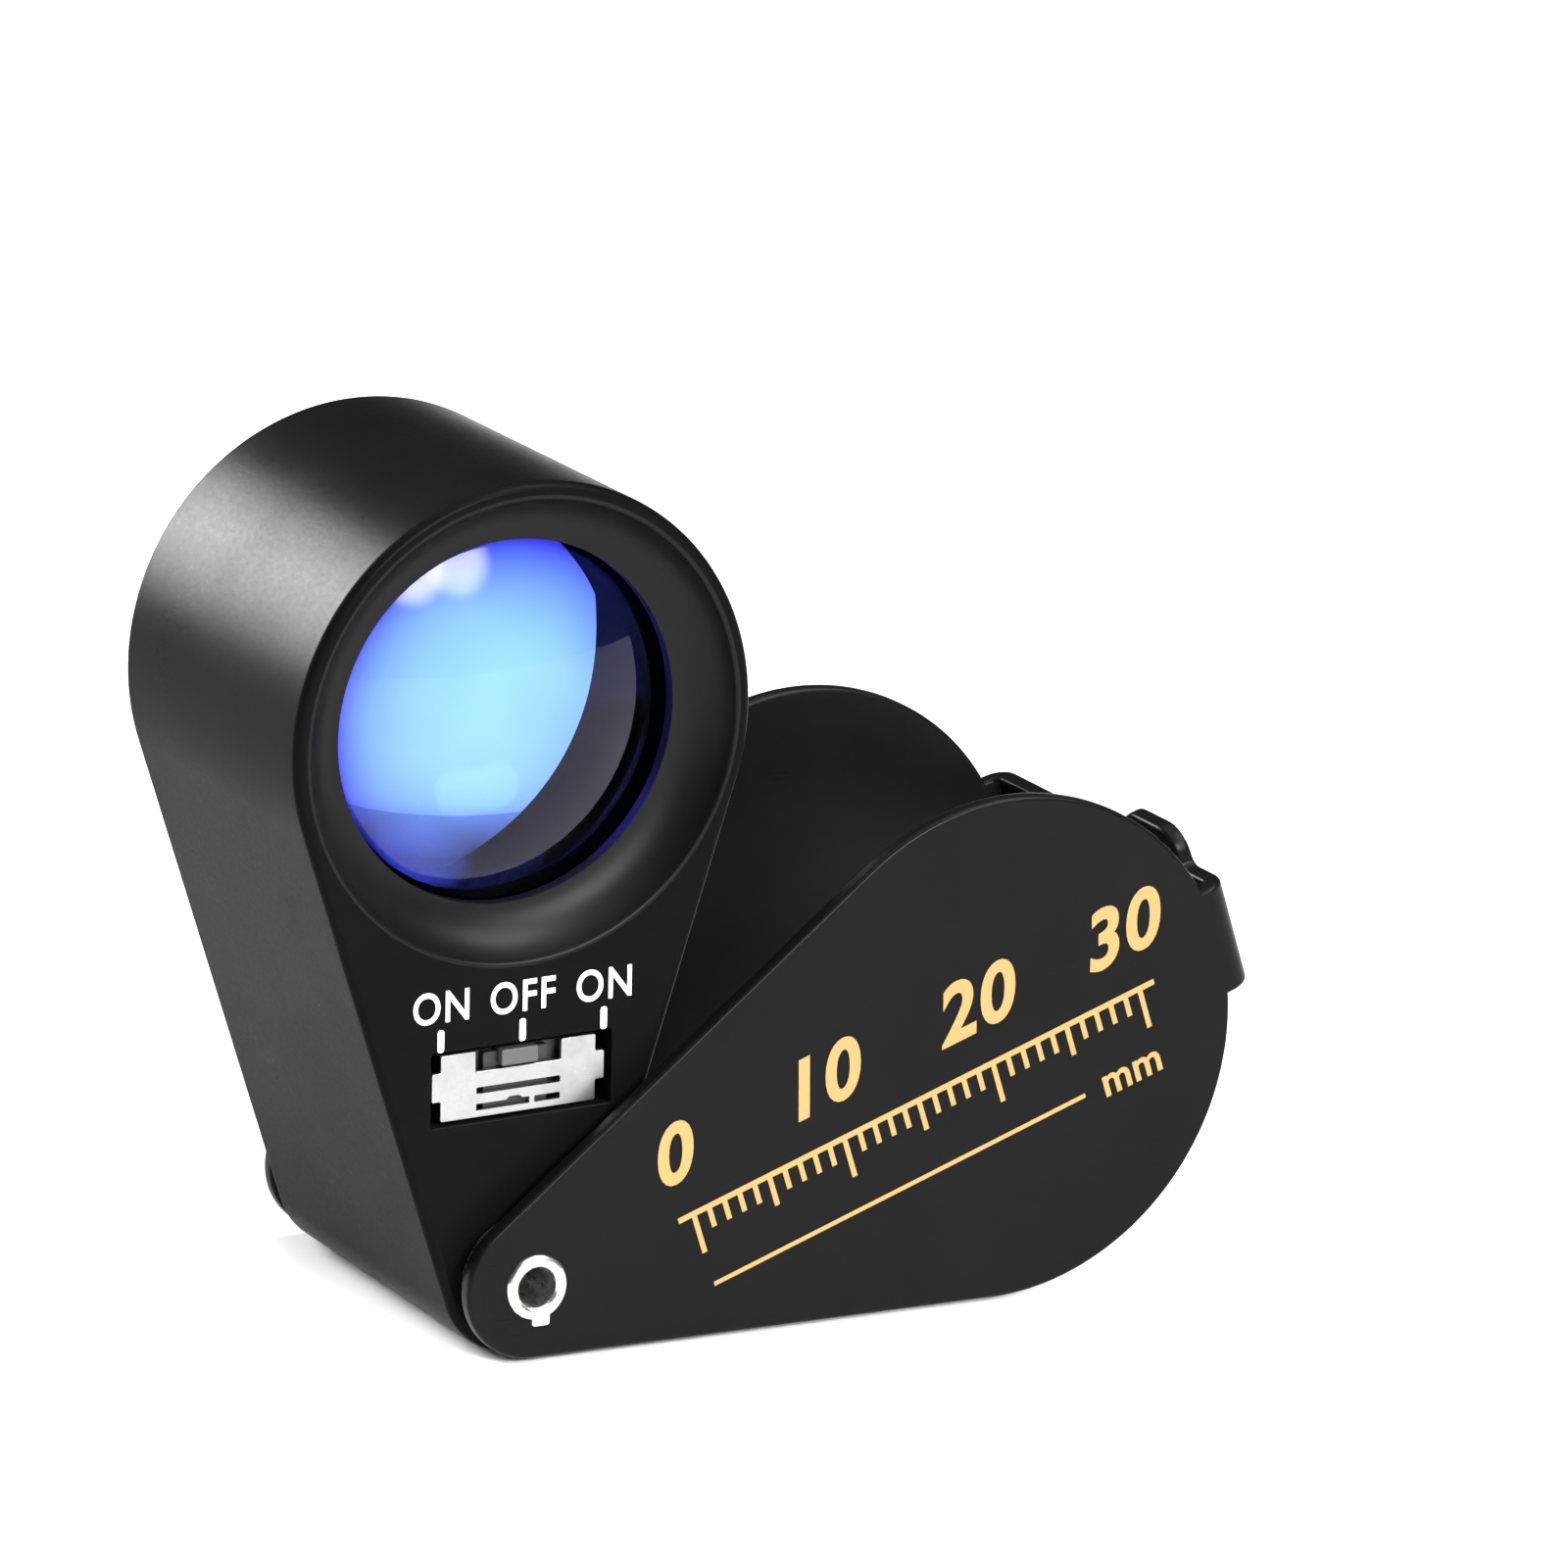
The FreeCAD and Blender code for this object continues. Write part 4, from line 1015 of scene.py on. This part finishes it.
def make_rule():
    """Gold millimetre rule along the near plate: bold numerals, graduations, and a lined foot."""
    start = 10.2 * MM
    top = -0.35 * MM
    foot = -4.9 * MM
    marks = []
    for number in range(0, RULE_LENGTH + 1, 10):
        marks.append(lettering(str(number), NUMERAL_HEIGHT, start + number * MM, 1.95 * MM,
                               COVER_FRONT - INK / 2, COVER, italic=0.3, bold=0.13 * MM, spacing=1.1))
    for step in range(RULE_LENGTH + 1):
        length = (2.5 if step % 10 == 0 else 1.9 if step % 5 == 0 else 1.3) * MM
        across = start + step * MM
        graduation = rectangle(across - 0.16 * MM, across + 0.16 * MM, top - length, top)
        marks.append(bar(graduation, COVER_FRONT, COVER))
    for left, right, middle, half in ((start - 1 * MM, start + (RULE_LENGTH + 1) * MM, top, 0.17 * MM),
                                      (start, start + 25 * MM, foot, 0.13 * MM)):
        line = rectangle(left, right, middle - half, middle + half)
        marks.append(bar(line, COVER_FRONT, COVER, 0.9 * INK))
    marks.append(lettering("mm", UNIT_HEIGHT, start + 28.2 * MM, -5.6 * MM, COVER_FRONT - INK / 2, COVER,
                           bold=0.05 * MM, spacing=1.05))
    return merged("gold_rule", marks)


finish_piece(make_rule(), "cover", GOLD_INK, "cover_lacquer")


# ------------------------------------------------------------------ CAD nodes that stay
for node, material in {
    "front_washer": SCREW_STEEL,
    "rear_washer": SCREW_STEEL,
    "rear_plate": SHELL_BLACK,
    "pivot_bushing": BRASS,
    "locating_sleeve": INNER_BLACK,
    "light_board": LAMINATE,
    "white_light_chips": WHITE_CHIP,
    "violet_light_chips": VIOLET_CHIP,
    "light_window": CLEAR,
    "battery_holder": INNER_BLACK,
    "button_cells": SCREW_STEEL,
    "floor_contact": TINPLATE,
    "hatch_contact": TINPLATE,
    "battery_hatch": SHELL_BLACK,
    "hatch_screw": SCREW_STEEL,
    "control_board": LAMINATE,
    "resistors": INNER_BLACK,
    "light_wires": RED_WIRE,
    "switch_base": INNER_BLACK,
    "switch_pins": TINPLATE,
}.items():
    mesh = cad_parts[node].data
    mesh.materials.clear()
    mesh.materials.append(material)


# ------------------------------------------------------------------ floor, light and camera
FLOOR_RADIUS = 4.0
FLOOR_GAP = 0.02 * MM


def make_floor():
    """Plain pale disc, a hair below the loupe's lowest point."""
    finish = Finish("pale floor", Roughness=0.6)
    cloud = finish.grain(4, 2.0)
    finish.feed("Base Color", finish.blend(cloud, grey(0.90), grey(0.92)))
    low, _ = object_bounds()
    rim = circle(FLOOR_RADIUS, steps=64)
    floor = new_piece("floor", [(x, y, low.z - FLOOR_GAP) for x, y in rim], [tuple(range(len(rim)))], HERE)
    floor.data.materials.append(finish.material)


def soft_light(name, place, target, along, width, height, power, spread=180):
    """Rectangular lamp at place that faces target, its height lying as near as can be to along."""
    lamp = bpy.data.lights.new(name, "AREA")
    lamp.shape = "RECTANGLE"
    lamp.size = width
    lamp.size_y = height
    lamp.energy = power
    lamp.spread = math.radians(spread)
    back = (Vector(place) - Vector(target)).normalized()
    across = Vector(along).cross(back).normalized()
    facing = Matrix((across, back.cross(across), back)).transposed().to_4x4()
    in_scene(name, lamp).matrix_world = Matrix.Translation(place) @ facing


# Soft round glows in the room: direction, strength, and the angles where each is full and where it ends.
GLOWS = (
    ((-0.02, -0.88, 0.46), 62.0, 2, 11),
    ((0.20, -0.85, 0.47), 50.0, 2, 11),
    ((0.42, -0.42, 0.80), 20.0, 4, 22),
)


def make_room():
    """Room light: pale walls behind the loupe up to a low edge, dimmer above them and in front."""
    world = bpy.data.worlds.new("pale room")
    bpy.context.scene.world = world
    world.use_nodes = True
    wall = world.node_tree.nodes["Background"]
    wall.inputs["Color"].default_value = grey(1.0)
    room = Nodes(world.node_tree)
    heading = room.node("TexCoord", output="Generated")
    height = room.node("SeparateXYZ", {}, {0: heading}, output="Z")
    depth = room.node("SeparateXYZ", {}, {0: heading}, output="Y")
    light = room.between(height, 0.0, 0.12, 1.0, 0.05) * room.between(depth, -0.3, 0.3, 0.12, 1.0)
    for direction, strength, full, none in GLOWS:
        towards = room.node("VectorMath", {"operation": "DOT_PRODUCT"},
                            {0: heading, 1: Vector(direction).normalized()}, output="Value")
        start = math.cos(math.radians(none))
        finish = math.cos(math.radians(full))
        light += room.node("MapRange", {"interpolation_type": "SMOOTHSTEP"},
                           {0: towards, 1: start, 2: finish, 3: 0.0, 4: strength})
    world.node_tree.links.new(light.socket, wall.inputs["Strength"])


AIM = Vector((0.0195, -0.0034, 0.0245))
VIEW_AZIMUTH = math.radians(-29.92)
VIEW_RISE = math.radians(15.47)
VIEW_ROLL = math.radians(2.89)
VIEW_DISTANCE = 0.5562
VIEW_LENS = 227.3


def make_camera():
    """Camera at a distance from the aim point, at its own heading, rise and roll."""
    camera = bpy.data.cameras.new("camera")
    camera.sensor_width = 36
    camera.lens = VIEW_LENS
    camera.clip_start = 0.01
    back = Vector((math.sin(VIEW_AZIMUTH) * math.cos(VIEW_RISE),
                   -math.cos(VIEW_AZIMUTH) * math.cos(VIEW_RISE), math.sin(VIEW_RISE)))
    right = Vector((math.cos(VIEW_AZIMUTH), math.sin(VIEW_AZIMUTH), 0))
    up = back.cross(right)
    tilted_right = right * math.cos(VIEW_ROLL) + up * math.sin(VIEW_ROLL)
    tilted_up = up * math.cos(VIEW_ROLL) - right * math.sin(VIEW_ROLL)
    facing = Matrix((tilted_right, tilted_up, back)).transposed().to_4x4()
    holder = in_scene("camera", camera)
    holder.matrix_world = Matrix.Translation(AIM + back * VIEW_DISTANCE) @ facing
    bpy.context.scene.camera = holder


make_floor()
make_room()
make_camera()
soft_light("side strip", place=(-0.058, 0.1, 0.079), target=(-0.012, 0, 0.04), along=(0.64, 0.49, -0.59),
           width=0.084, height=0.07, power=0.098, spread=42)
soft_light("overhead bank", place=(0.1, 0.1, 1.1), target=(0.1, 0.1, 0), along=(0, 1, 0),
           width=1.1, height=1.1, power=10.5)
bpy.context.scene.view_settings.view_transform = "Standard"
